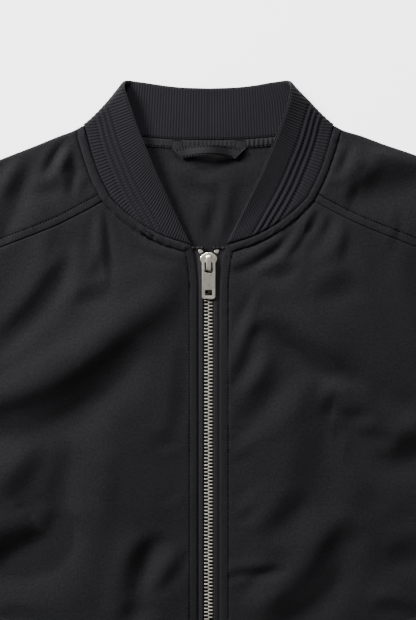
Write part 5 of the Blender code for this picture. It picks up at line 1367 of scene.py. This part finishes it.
def collar():
    """A doubled knit band: ribs on both faces, and three knitted ridges on its outside.

    It is placed on its middle surface by half its thickness and the relief, along the normal.
    """
    along = np.linspace(0.0, COLLAR_LENGTH, 900)
    seam, top = collar_edges(along)
    halfway = length_along((seam + top) / 2)
    places = np.linspace(0.0, halfway[-1], int(halfway[-1] / COLLAR_STEP) + 1)
    columns = np.interp(places, halfway, along)
    seam, top = collar_edges(columns)
    height = np.linalg.norm(top - seam, axis=1)
    share = np.broadcast_to(np.linspace(0.0, 1.0, COLLAR_ROWS)[:, None], (COLLAR_ROWS, len(columns)))
    spread_at = np.broadcast_to(columns, share.shape)
    middle = collar_middle(spread_at, share)
    step, part = COLLAR_NUDGE
    by_along = collar_middle(spread_at + step, share) - collar_middle(spread_at - step, share)
    by_share = collar_middle(spread_at, share + part) - collar_middle(spread_at, share - part)
    normal = np.cross(by_along, by_share)
    normal /= np.linalg.norm(normal, axis=-1, keepdims=True)
    from_top = (1.0 - share) * height
    from_sewn = height - from_top
    rib = RIB_RISE * ribs(places)[None] * smoothstep(from_top / 2.0) * smoothstep(from_sewn / 1.5)
    dotted = 0.55 + 0.45 * np.cos(2 * np.pi * places / RIB_PITCH)[None]
    pitch = COLLAR_RIDGES[0] - COLLAR_RIDGES[1]
    grooves = np.arange(COLLAR_RIDGES[-1] - pitch / 2, COLLAR_RIDGES[0] + pitch, pitch)
    ridge = sum(np.exp(-((from_top - mark) / RIDGE_HALF) ** 2) for mark in COLLAR_RIDGES)
    sunk = sum(np.exp(-((from_top - mark) / (RIDGE_HALF * 1.2)) ** 2) for mark in grooves)
    ridge = (RIDGE_RISE * ridge * dotted - RIDGE_GROOVE * sunk) * smoothstep(from_sewn / 2.5)
    ridge *= grown(normal[..., 2], 0.3, 0.6)
    ease = 0.35 * np.sin(places / 17.0 + 3.0 * share) * np.sin(np.pi * share)
    rounding = sum(depth * (1.0 - quarter_round(lip, width))
                   for lip, (width, depth) in zip((from_top, from_sewn), COLLAR_LIPS))
    faces = []
    for side, raised in ((1.0, rib + ridge), (-1.0, rib)):
        up = normal[..., 2] * side
        shown = (0.25 + 0.75 * grown(up, 0.05, 0.5)) * np.clip((up + 0.9) / 0.6, 0.0, 1.0)
        rise = (COLLAR_CLOTH / 2 + (raised + ease) * shown - rounding) * side
        faces.append(middle + normal * rise[..., None])
    whole = [np.concatenate([face, face[:, -2::-1] * [-1.0, 1.0, 1.0]], axis=1) for face in faces]
    uv = np.dstack([np.broadcast_to(places, share.shape), from_top])
    uv = np.concatenate([uv, uv[:, -2::-1] * [-1.0, 1.0]], axis=1)
    piece = wall("collar_knit", *whole, uv)
    finished(piece, RIB_LOOKS, nodes=("collar_rib",))


# ---- stitching --------------------
def stitch_row(path, height_of, pitch=STITCH_PITCH, length=STITCH_LENGTH, thick=THREAD_HALF):
    """Stitches along a flat path: capsules whose ends dip into the cloth.

    Along a stitch a runs from -1 to 1 and its radius is the thread's by sqrt(1 - a^4);
    its middle lies that radius over the cloth and its ends lie in it.
    """
    count = int(length_along(path)[-1] / pitch)
    centres = (np.arange(count) + 0.5) * pitch
    a = np.array([-1.0, -0.72, 0.0, 0.72, 1.0])
    lengths = centres[:, None] + a * length / 2
    flat = at_lengths(path, lengths.ravel())
    ahead = at_lengths(path, lengths.ravel() + 0.3) - at_lengths(path, lengths.ravel() - 0.3)
    way = np.column_stack([ahead, np.zeros(len(ahead))])
    way /= np.linalg.norm(way, axis=1)[:, None]
    sideways = np.cross(way, [0.0, 0.0, 1.0])
    lift = np.tile(thick * (0.6 - 1.1 * a ** 2), count)
    radius = np.tile(thick * np.array([0.35, 0.85, 1.0, 0.85, 0.35]), count)
    centre = np.column_stack([flat, height_of(flat) + lift])
    angle = angles(6, 0.0)[None, :, None]
    rings = (centre[:, None] + radius[:, None, None]
             * (np.cos(angle) * sideways[:, None] + np.sin(angle) * np.array([0.0, 0.0, 0.8])))
    return rings.reshape(count, len(a), 6, 3)


def on_panel(height_of):
    """Height of a panel's outer face at flat places."""
    def height(points):
        edge, _ = from_folded_edge(points)
        return MIDDLE_Z + FOLD_RADIUS * edge_turn(edge)[1] + height_of(points) + CLOTH / 2
    return height


def inside_path(path, *limits):
    """The part of a path that keeps farther from each line than the distance given with it."""
    keep = np.all([nearest(path, line)[0] > least for line, least in limits], axis=0)
    return path[keep]


HEM_STITCH = 2.2           # how far the hem's stitches lie over its seam


def topstitching():
    """Stitches beside the neck, the zip and the yoke seam, and over the hem seam."""
    zip_line, yoke_line = smooth_path(FRONT_LINE), smooth_path(YOKE_SEAM)
    neck = np.vstack([smooth_path(FRONT_NECK), smooth_path(SIDE_NECK)[1:]])
    front_neck = inside_path(moved_left(smooth_path(FRONT_NECK, 30), -TOPSTITCH),
                             (zip_line, TOPSTITCH), (yoke_line, 0.8))
    zip_side = inside_path(moved_left(smooth_path(FRONT_LINE, 30), TOPSTITCH), (neck, TOPSTITCH))
    hem = np.array([(FRONT_EDGE + TOPSTITCH, HEM_SEAM_Y + HEM_STITCH),
                    (HEM_SEAM_HALF - 3.0, HEM_SEAM_Y + HEM_STITCH)])
    side_neck = inside_path(moved_left(smooth_path(SIDE_NECK, 30), -TOPSTITCH),
                            (yoke_line, 1.2), (FOLDED_EDGES[0], 1.2))
    yoke_seam = inside_path(moved_left(smooth_path(YOKE_SEAM, 30), TOPSTITCH),
                            (neck, TOPSTITCH), (ARM_LINE, TOPSTITCH))
    rows = ((front_neck, front_relief), (zip_side, front_relief), (hem, front_relief),
            (side_neck, yoke_relief), (yoke_seam, yoke_relief))
    for label, side in SIDES:
        made = [stitch_row(path * [side, 1.0], on_panel(height_of)) for path, height_of in rows]
        finished(tubes("topstitching_" + label, np.concatenate(made)), THREAD_LOOKS)


# ---- pocket welts --------------------
WELT_LENGTH = 150.0
WELT_WIDTH = 24.0
WELT_WALL = 1.4
WELT_CORNER = (173.0, -442.0)
WELT_LEAN = math.radians(16.0)
WELT_CLEAR = 0.5
WELT_ROLL = 1.2            # width of its rounded rim
WELT_INSET = 2.6           # from its edge to its stitches
WELT_SUNK = 0.2            # how deep the stitches lie in it


def pocket_welts():
    """Welts that lie on the fronts: the front's own points, moved out, with a rolled rim."""
    across = np.array([math.cos(WELT_LEAN), math.sin(WELT_LEAN)])
    along = np.array([math.sin(WELT_LEAN), -math.cos(WELT_LEAN)])
    u = np.unique(np.concatenate([np.linspace(0.0, WELT_WIDTH, 17), [0.4, WELT_WIDTH - 0.4]]))
    v = np.unique(np.concatenate([np.linspace(0.0, WELT_LENGTH, 76), [0.4, WELT_LENGTH - 0.4]]))
    places = np.array(WELT_CORNER) + v[:, None, None] * along + u[None, :, None] * across
    lip = np.minimum(np.minimum(u, WELT_WIDTH - u)[None], np.minimum(v, WELT_LENGTH - v)[:, None])
    dent = 0.3 * np.exp(-((lip - WELT_INSET) / 0.8) ** 2)
    near, wide, far = WELT_INSET, WELT_WIDTH - WELT_INSET, WELT_LENGTH - WELT_INSET
    corners = np.array([(near, near), (wide, near), (wide, far), (near, far), (near, near)])
    line = np.array(WELT_CORNER) + corners @ np.array([across, along])
    height_of = on_panel(front_relief)

    def stitch_height(flat):
        return height_of(flat) + WELT_CLEAR + WELT_WALL - WELT_SUNK

    for label, side in SIDES:
        grid = places * [side, 1.0]
        low = height_of(grid.reshape(-1, 2)).reshape(grid.shape[:2]) + WELT_CLEAR
        top = low + WELT_WALL * (0.15 + 0.85 * quarter_round(lip, WELT_ROLL)) - dent
        node = "pocket_welt_" + label
        uv = np.dstack(np.broadcast_arrays(u[None], v[:, None]))
        piece = wall(node + "_cloth", np.dstack([grid, top]), np.dstack([grid, low]), uv)
        finished(piece, CLOTH_LOOKS, nodes=(node,))
        stitches = stitch_row(line * [side, 1.0], stitch_height)
        finished(tubes("welt_stitching_" + label, stitches), THREAD_LOOKS)


# ---- neck tape and hanger loop --------------------
NECK_TAPE_WIDTH = 8.0
NECK_TAPE_HALF = 86.0
NECK_TAPE_WALL = 1.0
LOOP_HALF = (32.6, 23.8)   # half lengths of the strip's upper and lower edge
LOOP_EDGES_Y = (-14.8, -23.6)
LOOP_WALL = 1.2
LOOP_ARCH = 6.0
LOOP_ARCH_HALF = 22.0
LOOP_BOW = 3.0             # how much lower in y its ends lie than its middle
LOOP_END_X = 28.6
LOOP_TAB = (9.4, 8.0, 0.8)  # width, reach and thickness of its turned-up ends
LOOP_TAB_Y = -17.9
TAPE_LOW = CLOTH + LAY
LOOP_SEAT = CLOTH + 3 * LAY + NECK_TAPE_WALL + LOOP_TAB[2]


def neck_tape():
    """Tape along the back neck seam, drawn into small upright puckers by its stitches."""
    x = np.linspace(-NECK_TAPE_HALF, NECK_TAPE_HALF, 241)
    seam = smooth_path(BACK_NECK)
    upper = np.interp(np.abs(x), seam[:, 0], seam[:, 1]) - 0.1
    share = np.linspace(0.0, 1.0, 9)[:, None]
    y = upper[None] - NECK_TAPE_WIDTH * (1.0 - share)
    wave = 0.5 + 0.5 * np.sin(2 * np.pi * x / 3.9 + 1.6 * np.sin(x / 13.0))
    strength = 0.18 + 0.2 * grown(x, -34.0, 12.0) + 0.5 * grown(x, 32.0, 4.0)
    drawn = wave * strength * grown(np.abs(np.abs(x) - LOOP_END_X), 5.2, 2.0)
    lip = np.minimum(share, 1.0 - share) * NECK_TAPE_WIDTH
    relief_up = drawn[None] * np.sin(np.pi * share) ** 0.6 - 0.45 * (1.0 - quarter_round(lip, 0.9))
    places = np.dstack([np.broadcast_to(x, y.shape), y])
    top = np.dstack([places, TAPE_LOW + NECK_TAPE_WALL + relief_up])
    low = np.dstack([places, np.full(y.shape, TAPE_LOW)])
    piece = wall("neck_tape_weave", top, low, places)
    finished(piece, TAPE_LOOKS, nodes=("neck_tape",))
    narrow(2 * NECK_TAPE_HALF, NECK_TAPE_WIDTH)

    def stitch_height(flat):
        return TAPE_LOW + NECK_TAPE_WALL + 0.55 * np.interp(flat[:, 0], x, drawn)

    line = np.column_stack([x, upper - NECK_TAPE_WIDTH + 1.2])
    stitches = stitch_row(line, stitch_height, pitch=2.8, length=1.8, thick=0.36)
    finished(tubes("neck_tape_stitching", stitches), THREAD_LOOKS)


def loop_places(share, across):
    """Flat places on the loop's strip: share along it, -1 to 1, and across it, 0 to 1 upwards."""
    half = LOOP_HALF[1] + (LOOP_HALF[0] - LOOP_HALF[1]) * across
    y = LOOP_EDGES_Y[1] + (LOOP_EDGES_Y[0] - LOOP_EDGES_Y[1]) * across - LOOP_BOW * share ** 2
    return np.stack(np.broadcast_arrays(share * half, y), -1)


def loop_height(x):
    """Height of the strip's lower face: LOOP_ARCH by (1 - (x / LOOP_ARCH_HALF)^2)^2."""
    inside = np.clip(1.0 - (x / LOOP_ARCH_HALF) ** 2, 0.0, 1.0)
    return LOOP_SEAT + LOOP_ARCH * inside ** 2


def hanger_loop():
    """A strip arched off the back, its two ends turned up over the neck tape."""
    share = np.linspace(-1.0, 1.0, 97)
    across = np.linspace(0.0, 1.0, 9)[:, None]
    deep = LOOP_EDGES_Y[0] - LOOP_EDGES_Y[1]
    places = loop_places(share[None], across)
    low = loop_height(places[..., 0])
    lip = np.minimum(across, 1.0 - across) * deep
    dent = 0.22 * np.exp(-((lip - 1.4) / 0.5) ** 2)
    top = low + LOOP_WALL * (0.3 + 0.7 * quarter_round(lip, 0.8)) - dent
    strip = wall("hanger_loop_weave", np.dstack([places, top]), np.dstack([places, low]), places)
    finished(strip, TAPE_LOOKS, nodes=("hanger_loop",))
    length = float(length_along(np.column_stack([places[4, :, 0], low[4]]))[-1])
    narrow(length, deep)
    width, reach, thick = LOOP_TAB
    u = np.linspace(-0.5, 0.5, 9)[None]
    v = np.linspace(0.0, 1.0, 9)[:, None]
    for label, side in SIDES:
        x = side * LOOP_END_X + u * width * (1.0 - 0.12 * v)
        places = np.dstack(np.broadcast_arrays(x, LOOP_TAB_Y + reach * v))
        low = np.full(x.shape, LOOP_SEAT - thick - LAY / 2)
        rolled = 0.3 + 0.7 * quarter_round((0.5 - np.abs(u)) * width, 0.9)
        top = low + thick * rolled * (0.85 + 0.15 * np.cos(3 * np.pi * u) * v)
        tab = wall("hanger_end_" + label, np.dstack([places, top]), np.dstack([places, low]), places)
        finished(tab, TAPE_LOOKS)
        narrow(width, reach)

    def stitch_height(flat):
        return loop_height(flat[:, 0]) + LOOP_WALL - 0.08

    rows = [stitch_row(loop_places(share, inset) * [0.95, 1.0], stitch_height,
                       pitch=2.7, length=1.7, thick=0.42) for inset in (0.13, 0.85)]
    finished(tubes("hanger_loop_stitching", np.concatenate(rows)), THREAD_LOOKS)


# ---- zip --------------------
TAPE_Z = (3.1, 4.1)        # the lower and the upper face
TAPE_HALF = (4.17, 19.0, 10.6)          # its inner edge, and its outer edge above and in the hem
TAPE_TOP_Y = -105.4
TAPE_RISE = 0.8            # of the tape's bare part, level with the fronts' edges
CHAIN_HALF = 3.87
CHAIN_Z = (2.75, 4.75)
CHAIN_TOP_Y = -117.4
CHAIN_END_Y = -668.0
TOOTH_PITCH = 3.15
TOOTH_HEAD = 0.5           # how far a tooth's head reaches past the middle
# From a tooth's root to its head: share of its length, half width, share of its thickness.
TOOTH = np.array([(0.0, 0.42, 0.60), (0.06, 0.66, 0.92), (0.22, 0.62, 1.0), (0.42, 0.54, 0.94),
                  (0.56, 0.56, 0.90), (0.70, 0.70, 0.86), (0.84, 0.74, 0.84), (0.95, 0.60, 0.72),
                  (1.0, 0.30, 0.40)])


def rounded_box(size, at, corner, turn=0.0):
    """A box with rounded edges: rings of a superellipse that draw in towards its two ends.

    Ring k lies at height -cos(a) and is scaled by sin(a), both to a power under 1, so
    that the sides stay straight and only the edges are round.
    """
    a = np.linspace(0.06, math.pi - 0.06, 7)[:, None]
    angle = angles(24)
    shrink = np.sin(a) ** 0.18
    x = size[0] / 2 * shrink * squared(np.cos(angle), corner)
    y = size[1] / 2 * shrink * squared(np.sin(angle), corner)
    z = np.broadcast_to(-size[2] / 2 * squared(np.cos(a), 0.35), x.shape)
    c, s = math.cos(turn), math.sin(turn)
    return np.stack([at[0] + c * x - s * y, at[1] + s * x + c * y, at[2] + z], -1)[None]


def zip_teeth():
    """Cast teeth, in turn from the two tapes: a root, a waist and a round head past the middle.

    Each is a row of rings along its length, and its section is a rounded square.
    """
    reach, half, thick = TOOTH.T[..., None]
    across = squared(np.cos(angles(10)), 0.6)
    up = squared(np.sin(angles(10)), 0.6)
    middle = sum(CHAIN_Z) / 2
    deep = (CHAIN_Z[1] - CHAIN_Z[0]) / 2
    for label, side in SIDES:
        first = CHAIN_TOP_Y - 1.0 - (TOOTH_PITCH / 2 if side < 0 else 0.0)
        y = np.arange(first, CHAIN_END_Y + 1.0, -TOOTH_PITCH)[:, None, None]
        x = side * (CHAIN_HALF - reach * (CHAIN_HALF + TOOTH_HEAD))
        rings = np.stack(np.broadcast_arrays(x, y + half * across, middle + thick * deep * up), -1)
        teeth = tubes("zip_teeth_" + label, rings)
        finished(teeth, TEETH_LOOKS, nodes=("zip_chain",) if side > 0 else ())


def zip_tapes():
    """Each tape: a flat strip under a front's edge, with a cord along the teeth and a curled end."""
    near, wide, slim = TAPE_HALF
    y = np.concatenate([np.linspace(HEM_END_Y, HEM_SEAM_Y + 2.0, 20),
                        np.linspace(HEM_SEAM_Y + 3.0, -120.0, 160),
                        np.linspace(-119.0, TAPE_TOP_Y, 14)])[:, None]
    share = np.linspace(0.0, 1.0, 22)[None]
    far = np.where(y < HEM_SEAM_Y + 2.5, slim, wide) - 4.0 * grown(y, TAPE_TOP_Y - 5.0, 5.0)
    x = near + (far - near) * share
    middle = sum(TAPE_Z) / 2
    cord = 0.35 * np.exp(-((x - near - 0.9) / 0.8) ** 2)
    waves = 0.2 * grown(y, -126.0, 16.0) * grown(x, 9.0, 5.0) * np.sin(y / 3.0)
    curled = 1.8 * np.exp(-((y - TAPE_TOP_Y + 1.5) / 1.3) ** 2) * (1.0 + 0.3 * np.sin(x * 1.5))
    bare = TAPE_RISE * smoothstep((9.6 - x) / 1.8) * grown(x, near, 1.4)
    bend = waves + curled + bare
    half = 0.1 + 0.4 * quarter_round(np.minimum(x - near, far - x), 0.6)
    for label, side in SIDES:
        flat = np.dstack(np.broadcast_arrays(x * side, y))
        top = np.dstack([flat, middle + half + cord + bend])
        low = np.dstack([flat, middle - half + bend])
        piece = wall("zip_tape_%s_weave" % label, top, low, flat)
        finished(piece, TAPE_LOOKS, nodes=("zip_tape_" + label,))


# The slider's side, each point by its y and half width.
SLIDER_OUTLINE = [(-111.2, 2.6), (-112.6, 4.8), (-114.2, 6.8), (-116.2, 7.75), (-118.4, 7.4),
                  (-121.0, 6.1), (-123.8, 5.1), (-125.6, 4.4)]
SLIDER_PLATES = ((1.5, 2.1), (5.1, 6.3))
SLIDER_POST = (1.7, -114.6)             # its radius and place
# Share of a plate's thickness, and how far its outline is drawn in there.
PLATE_STEPS = ((0.0, 0.86), (0.04, 0.94), (0.22, 0.995), (0.6, 1.0), (0.84, 0.97), (0.96, 0.90),
               (1.0, 0.80))
BRIDGE_Y = (-113.0, -127.4)
BRIDGE_HALF = 2.3
BRIDGE_WALL = 1.2
BRIDGE_TOP_Z = 10.6
BRIDGE_ROOT = 0.3          # how deep its feet stand in the plate


def plate_rings(outline, low, high, crown):
    """A plate with rounded edges: rings of its outline, drawn in towards its two faces.

    Its upper face swells by a crown, given as a share of its thickness.
    """
    outline = np.asarray(outline)
    centre = outline.mean(0)
    rings = []
    for level, scale in PLATE_STEPS + ((1.0 + crown * 0.7, 0.5), (1.0 + crown, 0.12)):
        height = np.full(len(outline), low + (high - low) * level)
        rings.append(np.column_stack([centre + (outline - centre) * scale, height]))
    return np.array(rings)[None]


def slider():
    """The slider: a round-shouldered top plate, a lower plate, a post and an arched bridge.

    The bridge's middle line is a superellipse over its two feet.
    """
    side = smooth_path([(half, y) for y, half in SLIDER_OUTLINE], 3)
    outline = np.vstack([side[::-1], side * [-1.0, 1.0]])
    (base_low, base_high), (top_low, top_high) = SLIDER_PLATES
    radius, post_y = SLIDER_POST
    angle = angles(12, 0.0)
    circle = [radius * np.cos(angle), post_y + radius * np.sin(angle)]
    post = np.array([np.column_stack(circle + [np.full(12, z)]) for z in (base_high - 0.1, top_low + 0.1)])
    start, end = BRIDGE_Y
    foot = top_high - BRIDGE_ROOT
    rise = BRIDGE_TOP_Z - BRIDGE_WALL / 2 - foot
    t = np.linspace(0.0, math.pi, 25)
    path_y = (start + end) / 2 + ((start - end) / 2 - BRIDGE_WALL / 2) * squared(np.cos(t), 0.45)
    path = np.column_stack([path_y, foot + rise * np.sin(t) ** 0.45])
    way = np.gradient(path, axis=0)
    way /= np.linalg.norm(way, axis=1)[:, None]
    out_y, out_z = -way[:, 1:], way[:, :1]
    across = BRIDGE_HALF * squared(np.cos(angles(12)), 0.5)
    up = BRIDGE_WALL / 2 * squared(np.sin(angles(12)), 0.7)
    bridge = np.stack(np.broadcast_arrays(across, path[:, :1] + out_y * up, path[:, 1:] + out_z * up), -1)
    pieces = [tubes("slider_top", plate_rings(outline, top_low, top_high, 0.25)),
              tubes("slider_base", plate_rings(outline, base_low, base_high, 0.0)),
              tubes("slider_post", post[None]),
              tubes("slider_bridge", bridge[None])]
    for piece in pieces:
        finished(piece, SLIDER_LOOKS, nodes=("zip_slider",) if piece is pieces[0] else ())


PULL_SIZE = (12.0, 34.4, 1.5)
PULL_BAR = 0.85            # from the bar's middle to the tab's near edge
PULL_TILT = math.radians(3.4)
PULL_WINDOW = (7.6, 9.6)
PULL_SLOT = (7.4, 2.2, 28.2)            # width of its well, its height, and how far down it lies
PULL_RIM = 1.25            # width of the raised rim round the recessed face
PULL_RECESS = 0.32
PULL_WELL_DEPTH = 0.55
PULL_SOFT = 0.28           # width of its softened edges


def rounded_outline(width, height, radius, centre_y=0.0, steps=7):
    """A rectangle's outline, its corners rounded to a radius."""
    corners = []
    for quarter, (sx, sy) in enumerate(((1, 1), (-1, 1), (-1, -1), (1, -1))):
        for angle in np.radians(90.0 * quarter + np.linspace(0.0, 90.0, steps + 1)):
            corners.append((sx * (width / 2 - radius) + radius * math.cos(angle),
                            centre_y + sy * (height / 2 - radius) + radius * math.sin(angle)))
    return np.array(corners)


def block(name, outline, low, high):
    """A straight-sided block between two heights."""
    rings = np.array([np.column_stack([outline, np.full(len(outline), z)]) for z in (low, high)])
    return tubes(name, rings[None], smooth=False)


def settled(piece):
    """Makes what a piece's modifiers show its own mesh."""
    evaluated = piece.evaluated_get(bpy.context.evaluated_depsgraph_get())
    piece.data = bpy.data.meshes.new_from_object(evaluated)
    piece.modifiers.clear()


def cut_away(piece, tool):
    """Cuts a tool out of a piece with a Boolean and deletes the tool."""
    change = piece.modifiers.new("cut", "BOOLEAN")
    change.operation = "DIFFERENCE"
    change.object = tool
    settled(piece)
    bpy.data.objects.remove(tool)


def pull_tab():
    """The pull tab: a plate with a raised rim round a recessed face, a window and a plain slot.

    It is cut flat, with y from its bar, then tilted about the bar and moved to the bridge.
    """
    width, length, thick = PULL_SIZE
    slot_wide, slot_high, slot_down = PULL_SLOT
    centre = PULL_BAR - length / 2
    window_y = -PULL_BAR - PULL_WINDOW[1] / 2
    face_top = window_y - PULL_WINDOW[1] / 2 - PULL_RIM
    face_end = centre - length / 2 + PULL_RIM
    face = rounded_outline(width - 2 * PULL_RIM, face_top - face_end, 1.1, (face_top + face_end) / 2)
    window = rounded_outline(*PULL_WINDOW, 1.6, window_y)
    well = rounded_outline(slot_wide, 2 * PULL_SHADED_WELL[1][1], 1.2, -slot_down)
    slot = rounded_outline(slot_wide - 0.8, slot_high, 0.95, -slot_down)
    through = ((-thick, thick),)

    def both_faces(depth):
        return ((thick / 2 - depth, thick), (-thick, depth - thick / 2))

    tab = block("pull_tab_metal", rounded_outline(width, length, 1.9, centre), -thick / 2, thick / 2)
    cuts = (("recess", face, both_faces(PULL_RECESS)), ("window", window, through),
            ("well", well, both_faces(PULL_WELL_DEPTH)), ("slot", slot, through))
    for name, outline, layers in cuts:
        for low, high in layers:
            cut_away(tab, block(name, outline, low, high))
    soften = tab.modifiers.new("soft_edges", "BEVEL")
    soften.width = PULL_SOFT * MM
    soften.segments = 3
    soften.limit_method = "ANGLE"
    soften.angle_limit = math.radians(50.0)
    settled(tab)
    points = np.zeros(len(tab.data.vertices) * 3)
    tab.data.vertices.foreach_get("co", points)
    points = points.reshape(-1, 3) - [0.0, ORIGIN_Y * MM, 0.0]
    c, s = math.cos(PULL_TILT), math.sin(PULL_TILT)
    turned = np.column_stack([points[:, 0], c * points[:, 1] - s * points[:, 2],
                              s * points[:, 1] + c * points[:, 2]])
    turned += np.array([0.0, ORIGIN_Y + PULL_AXIS[0], PULL_AXIS[1]]) * MM
    tab.data.vertices.foreach_set("co", turned.ravel())
    tab.data.update()
    tab.data.shade_smooth()
    tab.data.set_sharp_from_angle(angle=math.radians(32.0))
    finished(tab, PULL_LOOKS, body="pull_tab", nodes=("zip_pull",))


STOP_SIZE = (4.2, 3.7, 1.4)
STOP_AT = (7.2, -109.9, 4.5)
STOP_TURN = math.radians(24.0)
END_BOX_LENGTH = 11.7
END_BOX_THICK = 2.3


def zip_ends():
    """The two top stops, turned a little, and the box at the foot of the zip."""
    for label, side in SIDES:
        at = (side * STOP_AT[0],) + STOP_AT[1:]
        rings = rounded_box(STOP_SIZE, at, 0.4, turn=-side * STOP_TURN)
        finished(tubes("top_stop_" + label, rings), NICKEL_LOOKS, nodes=("zip_stop_" + label,))
    at = (0.0, HEM_END_Y + END_BOX_LENGTH / 2, sum(CHAIN_Z) / 2)
    rings = rounded_box((2 * CHAIN_HALF, END_BOX_LENGTH, END_BOX_THICK), at, 0.35)
    finished(tubes("end_box", rings), NICKEL_LOOKS, nodes=("zip_box",))


# ---- the floor, the light and the camera --------------------
PHOTO_SCALE = 0.9                      # millimetres for each pixel of a 416 x 620 view
PHOTO_SIZE = (416, 620)
PHOTO_ZERO = (208.6, 129.0)            # where the centre line meets the neck point line
FLOOR_HALF = 12000.0
FLOOR_DROP = 0.15          # how far the floor lies under the jacket
LENS = 100.0
SENSOR = 36.0
# Each soft lamp's name, place, the place it faces, both in metres, its size and its watts.
LAMPS = (("key_softbox", (-1.28, 1.20, 0.86), (-0.08, 0.12, 0.0), 0.55, 95.0),
         ("top_softbox", (-0.2, 1.9, 0.95), (0.0, 0.1, 0.0), 0.6, 42.0))
ROOM_COLOUR = (0.98, 0.99, 1.0, 1.0)
ROOM_LIGHT = 0.32


def to_face(way):
    """Angles that turn a lamp's own -Z to a direction."""
    flat = math.hypot(way[0], way[1])
    return (math.atan2(flat, -way[2]), 0.0, math.atan2(-way[0], way[1]))


def lamp(name, place, aim, size, watts):
    """A round soft lamp that faces a place."""
    light = bpy.data.lights.new(name, "AREA")
    light.shape = "DISK"
    light.size = size
    light.energy = watts
    item = bpy.data.objects.new(name, light)
    item.location = place
    item.rotation_euler = to_face(np.array(aim) - np.array(place))
    bpy.context.scene.collection.objects.link(item)


def stage():
    """Plain pale floor, soft light from the upper left, and a camera that looks straight down."""
    corners = FLOOR_HALF * np.array([(-1.0, -1.0), (1.0, -1.0), (1.0, 1.0), (-1.0, 1.0)])
    corners = np.column_stack([corners, np.full(4, -FLOOR_DROP)])
    floor = mesh_piece("floor", corners, np.array([[0, 1, 2, 3]]))
    looks = Looks("pale_floor", Roughness=0.9, Specular_IOR_Level=0.1, Base_Color=grey(0.5),
                  Emission_Color=grey(1.0), Emission_Strength=3.0)
    floor.data.materials.append(looks.material)
    for row in LAMPS:
        lamp(*row)
    world = bpy.data.worlds.new("room")
    bpy.context.scene.world = world
    world.use_nodes = True
    room = world.node_tree.nodes["Background"].inputs
    room["Color"].default_value = ROOM_COLOUR
    room["Strength"].default_value = ROOM_LIGHT

    camera = bpy.data.cameras.new("camera")
    camera.lens = LENS
    camera.sensor_width = SENSOR
    camera.clip_end = 50.0
    eye = bpy.data.objects.new("camera", camera)
    x = PHOTO_SCALE * (PHOTO_SIZE[0] / 2 - PHOTO_ZERO[0])
    y = PHOTO_SCALE * (PHOTO_ZERO[1] - PHOTO_SIZE[1] / 2) + ORIGIN_Y
    distance = PHOTO_SCALE * PHOTO_SIZE[1] * LENS / SENSOR
    eye.location = (x * MM, y * MM, (distance + MIDDLE_Z + FOLD_RADIUS) * MM)
    bpy.context.scene.collection.objects.link(eye)
    bpy.context.scene.camera = eye


cloth_panels()
sleeves()
cuffs()
hem_band()
collar()
topstitching()
pocket_welts()
neck_tape()
hanger_loop()
zip_teeth()
zip_tapes()
slider()
pull_tab()
zip_ends()
stage()
